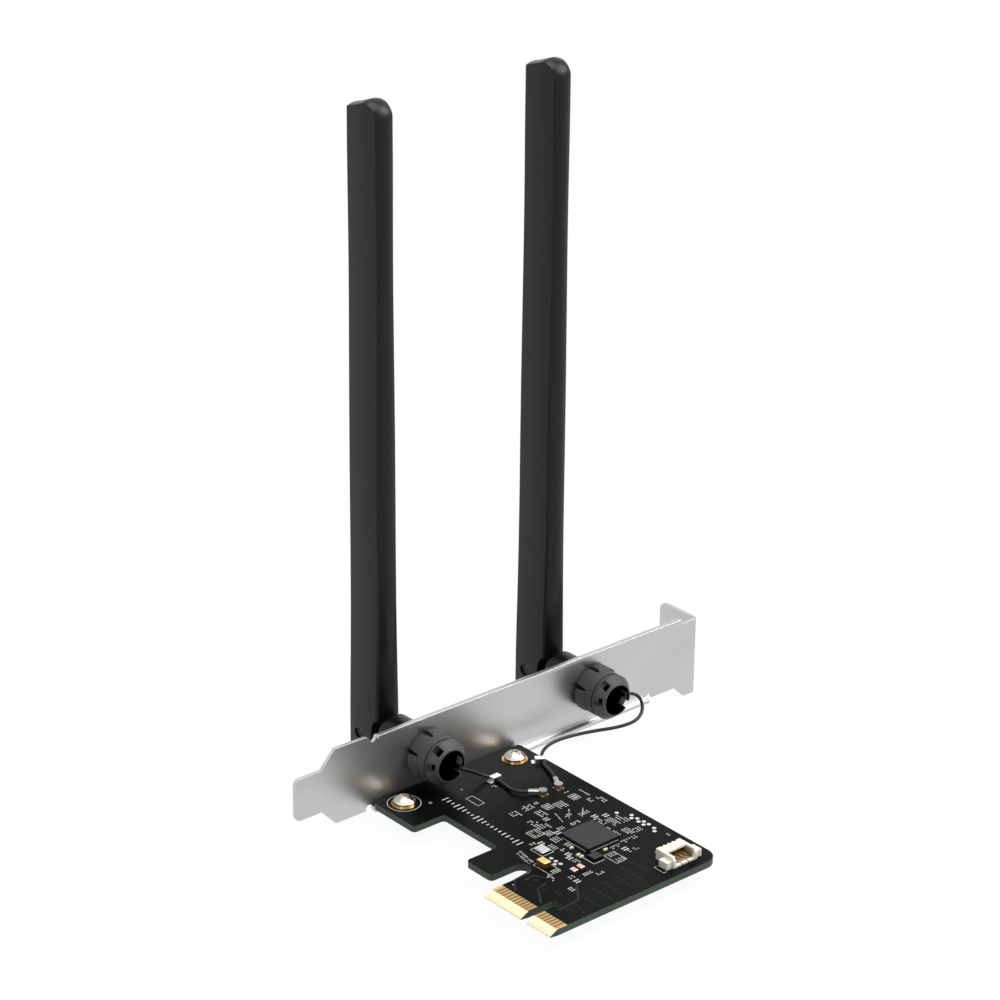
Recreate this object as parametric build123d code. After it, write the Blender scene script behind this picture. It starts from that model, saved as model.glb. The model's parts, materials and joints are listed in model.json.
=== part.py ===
from build123d import *

import math
import os

# A wireless card for a computer's x1 expansion slot, with two folding antennas on its bracket.
# The card lies flat with its parts upwards. X runs along the bracket from its tongue to its screw
# tab, Y points out of the back of the computer and Z is up. The origin is at the edge connector:
# the tip of the contacts, the middle of the key notch and the middle of the board. Sizes are in mm.

# Circuit board
BOARD_T = 1.57
BOARD_LEFT = 5.96
BOARD_RIGHT = 48.5
BOARD_FRONT = -8.2
BOARD_BACK_GAP = 0.45
STEP_X = 14.5
STEP_FRONT = 25.2
STEP_BACK = 43.4
HOOK_X = 5.5
HOOK_FRONT = 16.95
EDGE_BLOCK_BACK = 12.6
EDGE_SLOT_END = 14.2
BOARD_CORNER_R = 1.0
BOARD_FRONT_R = 3.6
KEY_WIDTH = 1.9
KEY_DEPTH = 9.2
BEVEL_LENGTH = 2.0
BEVEL_DEPTH = 1.05
UNDER_BEVEL_DEPTH = 0.3

# Gold contacts, on both faces of the board
CONTACT_PITCH = 1.0
CONTACT_WIDTH = 0.7
CONTACT_END = 4.7
CONTACT_T = 0.05
FIRST_CONTACT = 1.5
LONG_SIDE_CONTACTS = 11
SHORT_SIDE_CONTACTS = 7

# Bracket
BRACKET_T = 0.86
BRACKET_LENGTH = 120.02
BRACKET_WIDTH = 18.42
KEY_TO_BRACKET = 59.05
TONGUE_TO_TIP = 15.0
LOWER_EDGE_DROP = 1.2
TONGUE_LENGTH = 7.2
TONGUE_WIDTH = 10.19
TONGUE_R = 1.5
SHOULDER_RUN = 3.8
BEND_R = 0.4
FOLD_DEPTH = 2.06
UPPER_FOLD_START = 7.2
UPPER_FOLD_TO_TAB = 6.62
LOWER_FOLD_START = 6.2
LOWER_FOLD_TO_TAB = 16.32
RELIEF_WIDTH = 1.8
RELIEF_RISE = 0.5
PLAIN_EDGE_R = 1.2
TAB_DEPTH = 11.43
TAB_TOP = 15.3
TAB_LOW = -4.25
TAB_R = 1.8
FLARE_START_TO_TAB = 7.12
FLARE_END_TO_TAB = 4.02
SLOT_WIDTH = 4.42
SLOT_DEPTH = 8.5
SLOT_OUT = 6.35

# Board screws and the bracket's lugs under the board
SCREW_XS = (11.0, 43.2)
SCREW_TO_BRACKET = 5.15
SCREW_R = 1.45
SCREW_HOLE_CLEARANCE = 0.15
THREAD_CLEARANCE = 0.05
HEAD_R = 2.5
HEAD_RIM = 0.7
HEAD_HEIGHT = 1.9
RECESS_WIDTH = 0.8
RECESS_LENGTH = 2.9
RECESS_DEPTH = 1.0
SCREW_TIP = 1.4
LUG_WIDTH = 8.0
PAD_R = 2.95
PAD_T = 0.05

# Parts soldered to the board: size along X, size along Y, height, and middles
MAIN_CHIP_SIZE = (9.2, 9.0, 0.85)
MAIN_CHIP_AT = (32.5, 15.6)
CHIP_EDGE = 0.08
CHIP_DOT_R = 0.35
CHIP_DOT_DEPTH = 0.05
CHIP_DOT_INSET = 1.1
SMALL_CHIP_SIZE = (2.5, 2.35, 0.6)
SMALL_CHIP_AT = (27.55, 8.55)
CRYSTAL_SIZE = (2.5, 2.9, 0.65)
CRYSTAL_AT = (20.75, 17.95)
CRYSTAL_BASE_T = 0.35
CRYSTAL_LID_INSET = 0.15
TANTALUM_SIZE = (1.9, 2.75, 1.35)
TANTALUM_AT = (16.81, 12.97)
TANTALUM_EDGE = 0.12
BULK_CAP_SIZE = (1.3, 1.6, 0.7)
BULK_CAP_AT = ((20.05, 6.93), (22.06, 7.01))
SMALL_CAP_SIZE = (1.0, 0.5, 0.5)
SMALL_CAP_AT = ((25.25, 11.4), (25.3, 10.4), (31.25, 9.35), (26.15, 14.55))
CAP_EDGE = 0.08

# Wire header
HEADER_WIDTH = 6.95
HEADER_DEPTH = 5.6
HEADER_HEIGHT = 2.6
HEADER_LEFT = 37.1
HEADER_FRONT = -5.8
HEADER_SIDE_T = 0.7
HEADER_FLOOR_T = 0.45
HEADER_BACK_T = 1.3
HEADER_ROOF_T = 0.5
HEADER_ROOF_DEPTH = 2.7
HEADER_FRONT_EDGE = 0.7
LIP_SLOT_WIDTH = 0.35
LIP_SLOT_DEPTH = 1.7
SCALLOP_R = 0.34
ANCHOR_SIZE = (1.6, 2.6, 1.7)
ANCHOR_SETBACK = 0.4
PIN_COUNT = 5
PIN_PITCH = 1.25
PIN_T = 0.4
PIN_HEIGHT = 1.2
PIN_SETBACK = 1.0
PIN_TAIL = 0.8

# Coaxial jacks, plugs and clips
JACK_ATS = ((36.95, 36.3), (41.5, 36.2))
JACK_BASE = (1.9, 1.9, 0.3)
JACK_RING_R = 0.7
JACK_RING_T = 0.15
JACK_HEIGHT = 0.95
JACK_PIN_R = 0.18
PLUG_ANGLES = (141.0, 61.0)
PLUG_R = 1.02
PLUG_FIT = 0.05
PLUG_BOTTOM = 0.35
PLUG_TOP = 1.4
PLUG_ROOF_T = 0.3
PLUG_TAIL = 3.2
PLUG_TAIL_WIDTH = 1.15
PLUG_TAIL_EDGE = 0.3
CLIP_ATS = ((33.2, 48.1), (46.5, 48.15))
CLIP_ANGLES = (0.0, -33.0)
CLIP_LENGTH = 1.5
CLIP_T = 0.25
CLIP_HALF_GAP = 0.95
CLIP_GAP_HEIGHT = 1.0
CLIP_FOOT = 0.8

# Antenna swivels: a stem through the bracket, held by a collar and a snap ring inside the case
AXIS_XS = (21.38, 71.0)
STEM_R = 3.45
STEM_FIT = 0.05
STEM_HOLE_FIT = 0.1
STEM_LENGTH = 5.5
LEAD_BORE_R = 1.3
LEAD_BORE_DEPTH = 5.2
BARREL_R = 4.75
BARREL_LENGTH = 11.4
BARREL_END_R = 1.6
BARREL_GAP = 0.1
COLLAR_R = 5.4
COLLAR_LENGTH = 9.0
COLLAR_EDGE = 0.3
COLLAR_END_RUN = 1.9
COLLAR_END_DROP = 1.5
COLLAR_GROOVE_AT = 6.0
COLLAR_GROOVE_WIDTH = 0.5
COLLAR_GROOVE_DEPTH = 0.3
FINGER_R = 5.85
FINGER_EDGE = 0.25
FINGER_GAP = 0.6
SPLIT_COUNT = 6
SPLIT_LENGTH = 3.4
SPLIT_WIDE = 1.2
SPLIT_NARROW = 0.5
SPLIT_ANGLE = 99.0
WINDOW_ANGLES = (-4.0, 124.0, 173.0)
WINDOW_AT = 7.5
WINDOW_LENGTH = 1.9
WINDOW_WIDTH = 1.9
LEAD_SLOT_WIDTH = 1.6
LEAD_SLOT_DEPTH = 2.4
LEAD_SLOT_ANGLE = -33.0
RING_AT = 4.2
RING_T = 0.8
RING_R = 4.2
RING_DEPTH = 0.55
RING_FIT = 0.1
RING_GAP = 2.0

# Antenna blades, their fork, hinge pin and radiator
BLADE_HEIGHT = 148.9
BLADE_WIDTH = 11.2
BLADE_TOP_WIDTH = 11.1
BLADE_FORK_T = 7.1
BLADE_LOW_T = 6.1
BLADE_TOP_T = 4.6
BLADE_CROWN_X = 0.25
BLADE_CROWN_Y = 0.6
BLADE_FOOT_EDGE_R = 1.1
BLADE_LOW_EDGE_R = 0.8
BLADE_TOP_EDGE_R = 0.4
BLADE_TO_TAB = 0.5
BLADE_LOW_AT = 26.0
BLADE_LEVELS = 5
BLADE_SPARE = 1.0
BLADE_NEAR_R = 3.5
BLADE_FAR_R = 7.5
BLADE_CREST = 0.1
NOTCH_TOP = 5.6
NOTCH_LOW = 3.7
NOTCH_DEPTH = 2.2
NOTCH_R = 2.6
EAR_R = 4.2
HEEL_R = 1.4
FORK_SLOT = 2.6
FORK_SLOT_RISE = 5.4
TONGUE_PLATE_T = 2.4
TONGUE_PLATE_R = 3.7
TONGUE_ROOT_HALF = 3.4
PIN_DROP = 2.3
HINGE_PIN_R = 1.3
HINGE_PIN_INSET = 0.45
HINGE_PRESS = 0.02
HINGE_FIT = 0.06
CAVITY_WIDTH = 7.6
CAVITY_T = 1.8
CAVITY_TOP_WALL = 6.0
RADIATOR_FIT = 0.1
RADIATOR_RISE = 8.0
RADIATOR_TOP_GAP = 9.0
RADIATOR_NECK = 0.9
RADIATOR_NECK_LENGTH = 6.0

# Coaxial leads, from inside each stem to the plug: points of each route
LEAD_R = 0.405
LEAD_EXIT_RUN = 1.4
BEND_SHARE = 0.45
LEAD_ROUTES = (
    (
        (21.38, 62.4, 8.01),
        (21.46, 59.3, 8.06),
        (21.34, 56.2, 7.98),
        (21.4, 53.7, 8.01),
        (22.3, 51.9, 7.45),
        (24.5, 50.6, 6.0),
        (27.3, 50.2, 4.4),
        (30.0, 50.15, 2.75),
        (32.1, 49.6, 1.55),
        (33.15, 48.0, 1.24),
        (33.1, 45.9, 1.21),
        (32.75, 43.5, 1.21),
        (32.4, 41.3, 1.4),
    ),
    (
        (71.0, 62.4, 8.01),
        (71.08, 59.3, 8.06),
        (70.95, 56.2, 7.98),
        (71.0, 53.8, 8.01),
        (72.1, 51.75, 7.95),
        (74.2, 51.0, 7.78),
        (76.5, 50.75, 7.5),
        (78.4, 50.1, 6.5),
        (78.9, 49.2, 4.8),
        (77.9, 48.0, 3.2),
        (75.7, 47.4, 2.1),
        (72.9, 47.8, 1.6),
        (69.6, 48.9, 1.38),
        (65.8, 50.6, 1.3),
        (61.6, 52.0, 1.26),
        (57.4, 52.8, 1.24),
        (53.9, 52.7, 1.24),
        (50.9, 51.7, 1.23),
        (48.5, 50.0, 1.22),
        (46.85, 47.8, 1.22),
        (45.6, 45.2, 1.24),
        (44.8, 42.9, 1.5),
    ),
)

# Places that follow from the sizes above
BOARD_TOP = BOARD_T / 2
BOARD_UNDERSIDE = -BOARD_T / 2
OUTER_FACE = KEY_TO_BRACKET
INNER_FACE = KEY_TO_BRACKET - BRACKET_T
BOARD_BACK = INNER_FACE - BOARD_BACK_GAP
BRACKET_LEFT = -TONGUE_TO_TIP
BRACKET_RIGHT = BRACKET_LEFT + BRACKET_LENGTH
UPPER_FOLD_END = BRACKET_RIGHT - UPPER_FOLD_TO_TAB
LOWER_FOLD_END = BRACKET_RIGHT - LOWER_FOLD_TO_TAB
TAB_FLARE_START = BRACKET_RIGHT - FLARE_START_TO_TAB
TAB_FLARE_END = BRACKET_RIGHT - FLARE_END_TO_TAB
PLATE_LOW = -LOWER_EDGE_DROP
PLATE_TOP = PLATE_LOW + BRACKET_WIDTH
PLATE_MIDDLE = PLATE_LOW + BRACKET_WIDTH / 2
UPPER_BEND_LINE = PLATE_TOP - BRACKET_T - BEND_R
LOWER_BEND_LINE = BOARD_UNDERSIDE + BEND_R
FOLD_EDGE = OUTER_FACE - FOLD_DEPTH
SCREW_Y = INNER_FACE - SCREW_TO_BRACKET
PAD_TOP = BOARD_TOP + PAD_T
AXIS_Z = PLATE_MIDDLE
BARREL_BASE = OUTER_FACE + BARREL_GAP
STEM_END = INNER_FACE - STEM_LENGTH
COLLAR_END = INNER_FACE - COLLAR_LENGTH
BLADE_NEAR = OUTER_FACE + TAB_DEPTH + BLADE_TO_TAB
BLADE_FAR = BLADE_NEAR + BLADE_WIDTH
PIN_Y = BLADE_FAR - EAR_R
PIN_Z = AXIS_Z - PIN_DROP
BLADE_TOP = PIN_Z + BLADE_HEIGHT
FORK_ROOF = PIN_Z + FORK_SLOT_RISE


def block(low, high):
    """A box between two corners."""
    size = [b - a for a, b in zip(low, high)]
    middle = [(a + b) / 2 for a, b in zip(low, high)]
    return Pos(*middle) * Box(*size)


def polygon(points):
    return make_face(Polyline(*points, close=True))


def prism_x(face, low, high):
    """A face drawn in Y and Z, drawn out along X."""
    plane = Plane(origin=(low, 0, 0), x_dir=(0, 1, 0), z_dir=(1, 0, 0))
    return extrude(plane * face, amount=high - low)


def prism_y(face, low, high):
    """A face drawn in X and Z, drawn out along Y."""
    plane = Plane(origin=(0, high, 0), x_dir=(1, 0, 0), z_dir=(0, -1, 0))
    return extrude(plane * face, amount=high - low)


def prism_z(face, low, high):
    """A face drawn in X and Y, drawn out along Z."""
    return extrude(Pos(0, 0, low) * face, amount=high - low)


def upright(x, y, radius, low, high):
    """A round bar along Z."""
    return Pos(x, y, (low + high) / 2) * Cylinder(radius, high - low)


def near_point(vertices, x, y):
    """The corner of a flat outline that lies at a point."""
    return min(vertices, key=lambda v: math.hypot(v.X - x, v.Y - y))


def rounded(face, corners, radius):
    """An outline with some of its corners rounded."""
    return fillet([near_point(face.vertices(), x, y) for x, y in corners], radius)


def open_slot(start, end, middle, width):
    """A slot along X with one round end, as an outline in X and Y."""
    reach = end - width / 2
    body = Pos((start + reach) / 2, middle) * Rectangle(reach - start, width)
    return body + Pos(reach, middle) * Circle(width / 2)


def soldered(size, place, edge):
    """A small part on the board, with its upper edges broken."""
    body = Pos(place[0], place[1], BOARD_TOP + size[2] / 2) * Box(*size)
    return chamfer(body.faces().sort_by(Axis.Z)[-1].edges(), edge)


def make_board():
    outline = polygon([
        (BOARD_LEFT, BOARD_BACK), (BOARD_LEFT, STEP_BACK), (STEP_X, STEP_BACK), (STEP_X, STEP_FRONT),
        (HOOK_X, STEP_FRONT), (HOOK_X, HOOK_FRONT), (EDGE_SLOT_END, HOOK_FRONT),
        (EDGE_SLOT_END, EDGE_BLOCK_BACK), (0, EDGE_BLOCK_BACK), (0, BOARD_FRONT),
        (BOARD_RIGHT, BOARD_FRONT), (BOARD_RIGHT, BOARD_BACK),
    ])
    plain_corners = [
        (BOARD_LEFT, BOARD_BACK), (BOARD_LEFT, STEP_BACK), (STEP_X, STEP_BACK), (STEP_X, STEP_FRONT),
        (HOOK_X, STEP_FRONT), (HOOK_X, HOOK_FRONT), (BOARD_RIGHT, BOARD_BACK),
    ]
    outline = rounded(outline, plain_corners, BOARD_CORNER_R)
    outline = rounded(outline, [(BOARD_RIGHT, BOARD_FRONT)], BOARD_FRONT_R)
    slot_r = (HOOK_FRONT - EDGE_BLOCK_BACK) / 2
    slot_middle = (HOOK_FRONT + EDGE_BLOCK_BACK) / 2
    outline += Pos(EDGE_SLOT_END - slot_r / 2, slot_middle) * Rectangle(slot_r, 2 * slot_r)
    outline -= Pos(EDGE_SLOT_END - slot_r, slot_middle) * Circle(slot_r)
    outline -= open_slot(-KEY_WIDTH, KEY_DEPTH, 0, KEY_WIDTH)
    board = prism_z(outline, BOARD_UNDERSIDE, BOARD_TOP)
    for face, inner in (
        (BOARD_TOP, BOARD_TOP - BEVEL_DEPTH),
        (BOARD_UNDERSIDE, BOARD_UNDERSIDE + UNDER_BEVEL_DEPTH),
    ):
        bevel = polygon([(0, face), (BEVEL_LENGTH, face), (0, inner)])
        board -= prism_y(bevel, BOARD_FRONT, EDGE_BLOCK_BACK)
    for x in SCREW_XS:
        board -= upright(x, SCREW_Y, SCREW_R + SCREW_HOLE_CLEARANCE, BOARD_UNDERSIDE, BOARD_TOP)
    return board


def make_edge_contacts():
    """Flat gold strips beside the key notch, the same above and below."""
    middles = [FIRST_CONTACT + CONTACT_PITCH * i for i in range(LONG_SIDE_CONTACTS)]
    middles += [-FIRST_CONTACT - CONTACT_PITCH * i for i in range(SHORT_SIDE_CONTACTS)]
    half = CONTACT_WIDTH / 2
    strips = []
    for y in middles:
        for low in (BOARD_TOP, BOARD_UNDERSIDE - CONTACT_T):
            strips.append(block((BEVEL_LENGTH, y - half, low), (CONTACT_END, y + half, low + CONTACT_T)))
    return Compound(children=strips)


def plate_outline():
    """The bracket's flat face in X and Z, up to the lines where its sheet is bent."""
    shoulder = BRACKET_LEFT + TONGUE_LENGTH
    body = shoulder + SHOULDER_RUN
    tongue_low = PLATE_MIDDLE - TONGUE_WIDTH / 2
    tongue_top = PLATE_MIDDLE + TONGUE_WIDTH / 2
    tab_bend = BRACKET_RIGHT - BRACKET_T - BEND_R
    upper_plain_end = UPPER_FOLD_START - RELIEF_WIDTH
    lower_plain_end = LOWER_FOLD_START - RELIEF_WIDTH
    lower_plain_start = LOWER_FOLD_END + RELIEF_WIDTH
    face = polygon([
        (BRACKET_LEFT, tongue_low), (BRACKET_LEFT, tongue_top), (shoulder, tongue_top), (body, PLATE_TOP),
        (upper_plain_end, PLATE_TOP), (upper_plain_end, UPPER_BEND_LINE), (UPPER_FOLD_END, UPPER_BEND_LINE),
        (UPPER_FOLD_END, TAB_TOP), (tab_bend, TAB_TOP), (tab_bend, TAB_LOW), (TAB_FLARE_END, TAB_LOW),
        (TAB_FLARE_START, PLATE_LOW), (lower_plain_start, PLATE_LOW), (lower_plain_start, LOWER_BEND_LINE),
        (lower_plain_end, LOWER_BEND_LINE), (lower_plain_end, PLATE_LOW), (body, PLATE_LOW),
        (shoulder, tongue_low),
    ])
    face = rounded(face, [(BRACKET_LEFT, tongue_low), (BRACKET_LEFT, tongue_top)], TONGUE_R)
    face = rounded(face, [(upper_plain_end, PLATE_TOP)], min(PLAIN_EDGE_R, BRACKET_T + BEND_R))
    relief_r = RELIEF_WIDTH / 2
    face -= Pos(UPPER_FOLD_START - relief_r, UPPER_BEND_LINE + relief_r - RELIEF_RISE) * Circle(relief_r)
    for x in (LOWER_FOLD_START - relief_r, LOWER_FOLD_END + relief_r):
        face -= Pos(x, LOWER_BEND_LINE - relief_r + RELIEF_RISE) * Circle(relief_r)
    return face


def fold_profile(line, way):
    """Section in Y and Z of an edge bent inwards at a bend line; way is 1 upwards, -1 downwards."""
    centre = INNER_FACE - BEND_R
    outer_r = BEND_R + BRACKET_T
    half = math.sqrt(0.5)
    outer_mid = (centre + outer_r * half, line + way * outer_r * half)
    inner_mid = (centre + BEND_R * half, line + way * BEND_R * half)
    edges = [
        Line((INNER_FACE, line), (OUTER_FACE, line)),
        ThreePointArc((OUTER_FACE, line), outer_mid, (centre, line + way * outer_r)),
        Line((centre, line + way * outer_r), (FOLD_EDGE, line + way * outer_r)),
        Line((FOLD_EDGE, line + way * outer_r), (FOLD_EDGE, line + way * BEND_R)),
        Line((FOLD_EDGE, line + way * BEND_R), (centre, line + way * BEND_R)),
        ThreePointArc((centre, line + way * BEND_R), inner_mid, (INNER_FACE, line)),
    ]
    return make_face(edges)


def screw_tab():
    """The end bent outwards over the case, with an open slot for the fixing screw."""
    bend_x = BRACKET_RIGHT - BRACKET_T - BEND_R
    bend_y = OUTER_FACE + BEND_R
    outer_r = BEND_R + BRACKET_T
    half = math.sqrt(0.5)
    outer_mid = (bend_x + outer_r * half, bend_y - outer_r * half)
    inner_mid = (bend_x + BEND_R * half, bend_y - BEND_R * half)
    far = OUTER_FACE + TAB_DEPTH
    inner_x = BRACKET_RIGHT - BRACKET_T
    edges = [
        Line((bend_x, OUTER_FACE), (bend_x, INNER_FACE)),
        ThreePointArc((bend_x, INNER_FACE), outer_mid, (BRACKET_RIGHT, bend_y)),
        Line((BRACKET_RIGHT, bend_y), (BRACKET_RIGHT, far)),
        Line((BRACKET_RIGHT, far), (inner_x, far)),
        Line((inner_x, far), (inner_x, bend_y)),
        ThreePointArc((inner_x, bend_y), inner_mid, (bend_x, OUTER_FACE)),
    ]
    tab = prism_z(make_face(edges), TAB_LOW, TAB_TOP)
    far_edges = tab.edges().filter_by(Axis.X).group_by(Axis.Y)[-1]
    tab = fillet(far_edges, TAB_R)
    slot_y = OUTER_FACE + SLOT_OUT
    slot_end = TAB_LOW + SLOT_DEPTH - SLOT_WIDTH / 2
    slot = Pos(slot_y, (TAB_LOW + slot_end) / 2) * Rectangle(SLOT_WIDTH, slot_end - TAB_LOW)
    slot += Pos(slot_y, slot_end) * Circle(SLOT_WIDTH / 2)
    return tab - prism_x(slot, inner_x, BRACKET_RIGHT)


def board_lug(x):
    """A round-ended lug of the lower fold, under the board at a screw."""
    lug_r = LUG_WIDTH / 2
    outline = Pos(x, (SCREW_Y + FOLD_EDGE) / 2) * Rectangle(LUG_WIDTH, FOLD_EDGE - SCREW_Y)
    outline += Pos(x, SCREW_Y) * Circle(lug_r)
    outline -= Pos(x, SCREW_Y) * Circle(SCREW_R + THREAD_CLEARANCE)
    return prism_z(outline, BOARD_UNDERSIDE - BRACKET_T, BOARD_UNDERSIDE)


def make_bracket():
    plate = plate_outline()
    for x in AXIS_XS:
        plate -= Pos(x, AXIS_Z) * Circle(STEM_R + STEM_HOLE_FIT)
    bracket = prism_y(plate, INNER_FACE, OUTER_FACE)
    bracket += prism_x(fold_profile(UPPER_BEND_LINE, 1), UPPER_FOLD_START, UPPER_FOLD_END)
    bracket += prism_x(fold_profile(LOWER_BEND_LINE, -1), LOWER_FOLD_START, LOWER_FOLD_END)
    for x in SCREW_XS:
        bracket += board_lug(x)
    return bracket + screw_tab()


def make_screw(x):
    """Pan-head screw with a cross recess, through the board into a lug."""
    length = PAD_TOP - BOARD_UNDERSIDE + BRACKET_T + SCREW_TIP
    rise = HEAD_HEIGHT - HEAD_RIM
    dome_r = (HEAD_R ** 2 + rise ** 2) / (2 * rise)
    half_turn = math.asin(HEAD_R / dome_r) / 2
    dome_mid = (dome_r * math.sin(half_turn), HEAD_HEIGHT - dome_r * (1 - math.cos(half_turn)))
    section = make_face([
        Line((0, -length), (SCREW_R, -length)),
        Line((SCREW_R, -length), (SCREW_R, 0)),
        Line((SCREW_R, 0), (HEAD_R, 0)),
        Line((HEAD_R, 0), (HEAD_R, HEAD_RIM)),
        ThreePointArc((HEAD_R, HEAD_RIM), dome_mid, (0, HEAD_HEIGHT)),
        Line((0, HEAD_HEIGHT), (0, -length)),
    ])
    screw = revolve(Plane.XZ * section, Axis.Z)
    arms = Rectangle(RECESS_WIDTH, RECESS_LENGTH) + Rectangle(RECESS_LENGTH, RECESS_WIDTH)
    screw -= prism_z(arms, HEAD_HEIGHT - RECESS_DEPTH, HEAD_HEIGHT + RECESS_DEPTH)
    return Pos(x, SCREW_Y, PAD_TOP) * screw


def make_screw_pad(x):
    """Gold ring on the board under a screw's head."""
    ring = Circle(PAD_R) - Circle(SCREW_R + SCREW_HOLE_CLEARANCE)
    return prism_z(Pos(x, SCREW_Y) * ring, BOARD_TOP, PAD_TOP)


def make_main_chip():
    chip = soldered(MAIN_CHIP_SIZE, MAIN_CHIP_AT, CHIP_EDGE)
    top = BOARD_TOP + MAIN_CHIP_SIZE[2]
    dot_x = MAIN_CHIP_AT[0] - MAIN_CHIP_SIZE[0] / 2 + CHIP_DOT_INSET
    dot_y = MAIN_CHIP_AT[1] + MAIN_CHIP_SIZE[1] / 2 - CHIP_DOT_INSET
    return chip - upright(dot_x, dot_y, CHIP_DOT_R, top - CHIP_DOT_DEPTH, top)


def make_crystal():
    """Ceramic base with a smaller metal lid."""
    wide, deep, height = CRYSTAL_SIZE
    x, y = CRYSTAL_AT
    base = Pos(x, y, BOARD_TOP + CRYSTAL_BASE_T / 2) * Box(wide, deep, CRYSTAL_BASE_T)
    lid_t = height - CRYSTAL_BASE_T
    lid_z = BOARD_TOP + CRYSTAL_BASE_T + lid_t / 2
    return base + Pos(x, y, lid_z) * Box(wide - 2 * CRYSTAL_LID_INSET, deep - 2 * CRYSTAL_LID_INSET, lid_t)


def pin_middles():
    first = HEADER_LEFT + HEADER_WIDTH / 2 - PIN_PITCH * (PIN_COUNT - 1) / 2
    return [first + PIN_PITCH * i for i in range(PIN_COUNT)]


def make_header_pins():
    """Square pins from inside the header, through its back wall and down to the board."""
    tip = HEADER_FRONT + PIN_SETBACK
    end = HEADER_FRONT + HEADER_DEPTH + PIN_TAIL
    middle = BOARD_TOP + PIN_HEIGHT
    half = PIN_T / 2
    pins = []
    for x in pin_middles():
        bar = block((x - half, tip, middle - half), (x + half, end, middle + half))
        tail = block((x - half, end - PIN_T, BOARD_TOP), (x + half, end, middle))
        pins.append(bar + tail)
    return Compound(children=pins)


def make_header_housing():
    """Side-entry wire header: roofed at the back, open in front, with an anchor block each side."""
    right = HEADER_LEFT + HEADER_WIDTH
    back = HEADER_FRONT + HEADER_DEPTH
    top = BOARD_TOP + HEADER_HEIGHT
    floor = BOARD_TOP + HEADER_FLOOR_T
    inside_left = HEADER_LEFT + HEADER_SIDE_T
    inside_right = right - HEADER_SIDE_T
    roof_front = back - HEADER_ROOF_DEPTH
    housing = block((HEADER_LEFT, HEADER_FRONT, BOARD_TOP), (right, back, top))
    front_top = housing.edges().filter_by(Axis.X).sort_by(lambda e: e.center().Z - e.center().Y)[-1]
    housing = chamfer(front_top, HEADER_FRONT_EDGE)
    low = (inside_left, HEADER_FRONT, floor)
    housing -= block(low, (inside_right, back - HEADER_BACK_T, top - HEADER_ROOF_T))
    housing -= block(low, (inside_right, roof_front, top))
    inside = inside_right - inside_left
    for share in (1 / 3, 2 / 3):
        x = inside_left + inside * share
        corner = (x + LIP_SLOT_WIDTH / 2, HEADER_FRONT + LIP_SLOT_DEPTH, floor)
        housing -= block((x - LIP_SLOT_WIDTH / 2, HEADER_FRONT, BOARD_TOP), corner)
    xs = pin_middles()
    for left, following in zip(xs, xs[1:]):
        housing -= upright((left + following) / 2, back, SCALLOP_R, top - HEADER_ROOF_T, top)
    half = PIN_T / 2
    pin_z = BOARD_TOP + PIN_HEIGHT
    for x in xs:
        housing -= block((x - half, back - HEADER_BACK_T, pin_z - half), (x + half, back, pin_z + half))
    wide, deep, high = ANCHOR_SIZE
    for start in (HEADER_LEFT - wide, right):
        near = HEADER_FRONT + ANCHOR_SETBACK
        housing += block((start, near, BOARD_TOP), (start + wide, near + deep, BOARD_TOP + high))
    return housing


def make_jack(place):
    """Board half of the coaxial snap connector: a base, a ring and a centre pin."""
    x, y = place
    base_top = BOARD_TOP + JACK_BASE[2]
    top = BOARD_TOP + JACK_HEIGHT
    jack = Pos(x, y, BOARD_TOP + JACK_BASE[2] / 2) * Box(*JACK_BASE)
    ring = Circle(JACK_RING_R) - Circle(JACK_RING_R - JACK_RING_T)
    jack += prism_z(Pos(x, y) * ring, base_top, top)
    return jack + upright(x, y, JACK_PIN_R, base_top, top)


def make_plug(place, angle):
    """Cable half of the connector: a round cap over the jack's ring and a crimped tail."""
    cap = upright(0, 0, PLUG_R, PLUG_BOTTOM, PLUG_TOP)
    half = PLUG_TAIL_WIDTH / 2
    tail = block((0, -half, PLUG_BOTTOM), (PLUG_TAIL, half, PLUG_TOP))
    tail = fillet(tail.edges().filter_by(Axis.X).group_by(Axis.Z)[-1], PLUG_TAIL_EDGE)
    plug = cap + tail
    plug -= upright(0, 0, JACK_RING_R + PLUG_FIT, PLUG_BOTTOM, PLUG_TOP - PLUG_ROOF_T)
    return Pos(place[0], place[1], BOARD_TOP) * Rot(0, 0, angle) * plug


def plug_line(place, angle, reach):
    """A point on the middle line of a plug's tail, at a distance from its jack."""
    turn = math.radians(angle)
    height = BOARD_TOP + (PLUG_BOTTOM + PLUG_TOP) / 2
    return (place[0] + reach * math.cos(turn), place[1] + reach * math.sin(turn), height)


def make_clip(place, angle):
    """Bent metal strip that holds a lead down on the board."""
    gap = CLIP_HALF_GAP
    wall = gap + CLIP_T
    top = CLIP_GAP_HEIGHT + CLIP_T
    outline = polygon([
        (-wall - CLIP_FOOT, 0), (-gap, 0), (-gap, CLIP_GAP_HEIGHT), (gap, CLIP_GAP_HEIGHT), (gap, 0),
        (wall, 0), (wall, top), (-wall, top), (-wall, CLIP_T), (-wall - CLIP_FOOT, CLIP_T),
    ])
    strip = prism_y(outline, -CLIP_LENGTH / 2, CLIP_LENGTH / 2)
    return Pos(place[0], place[1], BOARD_TOP) * Rot(0, 0, angle) * strip


def lead_radii(points):
    """The largest even bend at each inner point of a route."""
    radii = []
    for before, here, after in zip(points, points[1:], points[2:]):
        first = Vector(*here) - Vector(*before)
        second = Vector(*after) - Vector(*here)
        half_turn = math.radians(first.get_angle(second)) / 2
        radii.append(BEND_SHARE * min(first.length, second.length) / math.tan(half_turn))
    return radii


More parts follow.
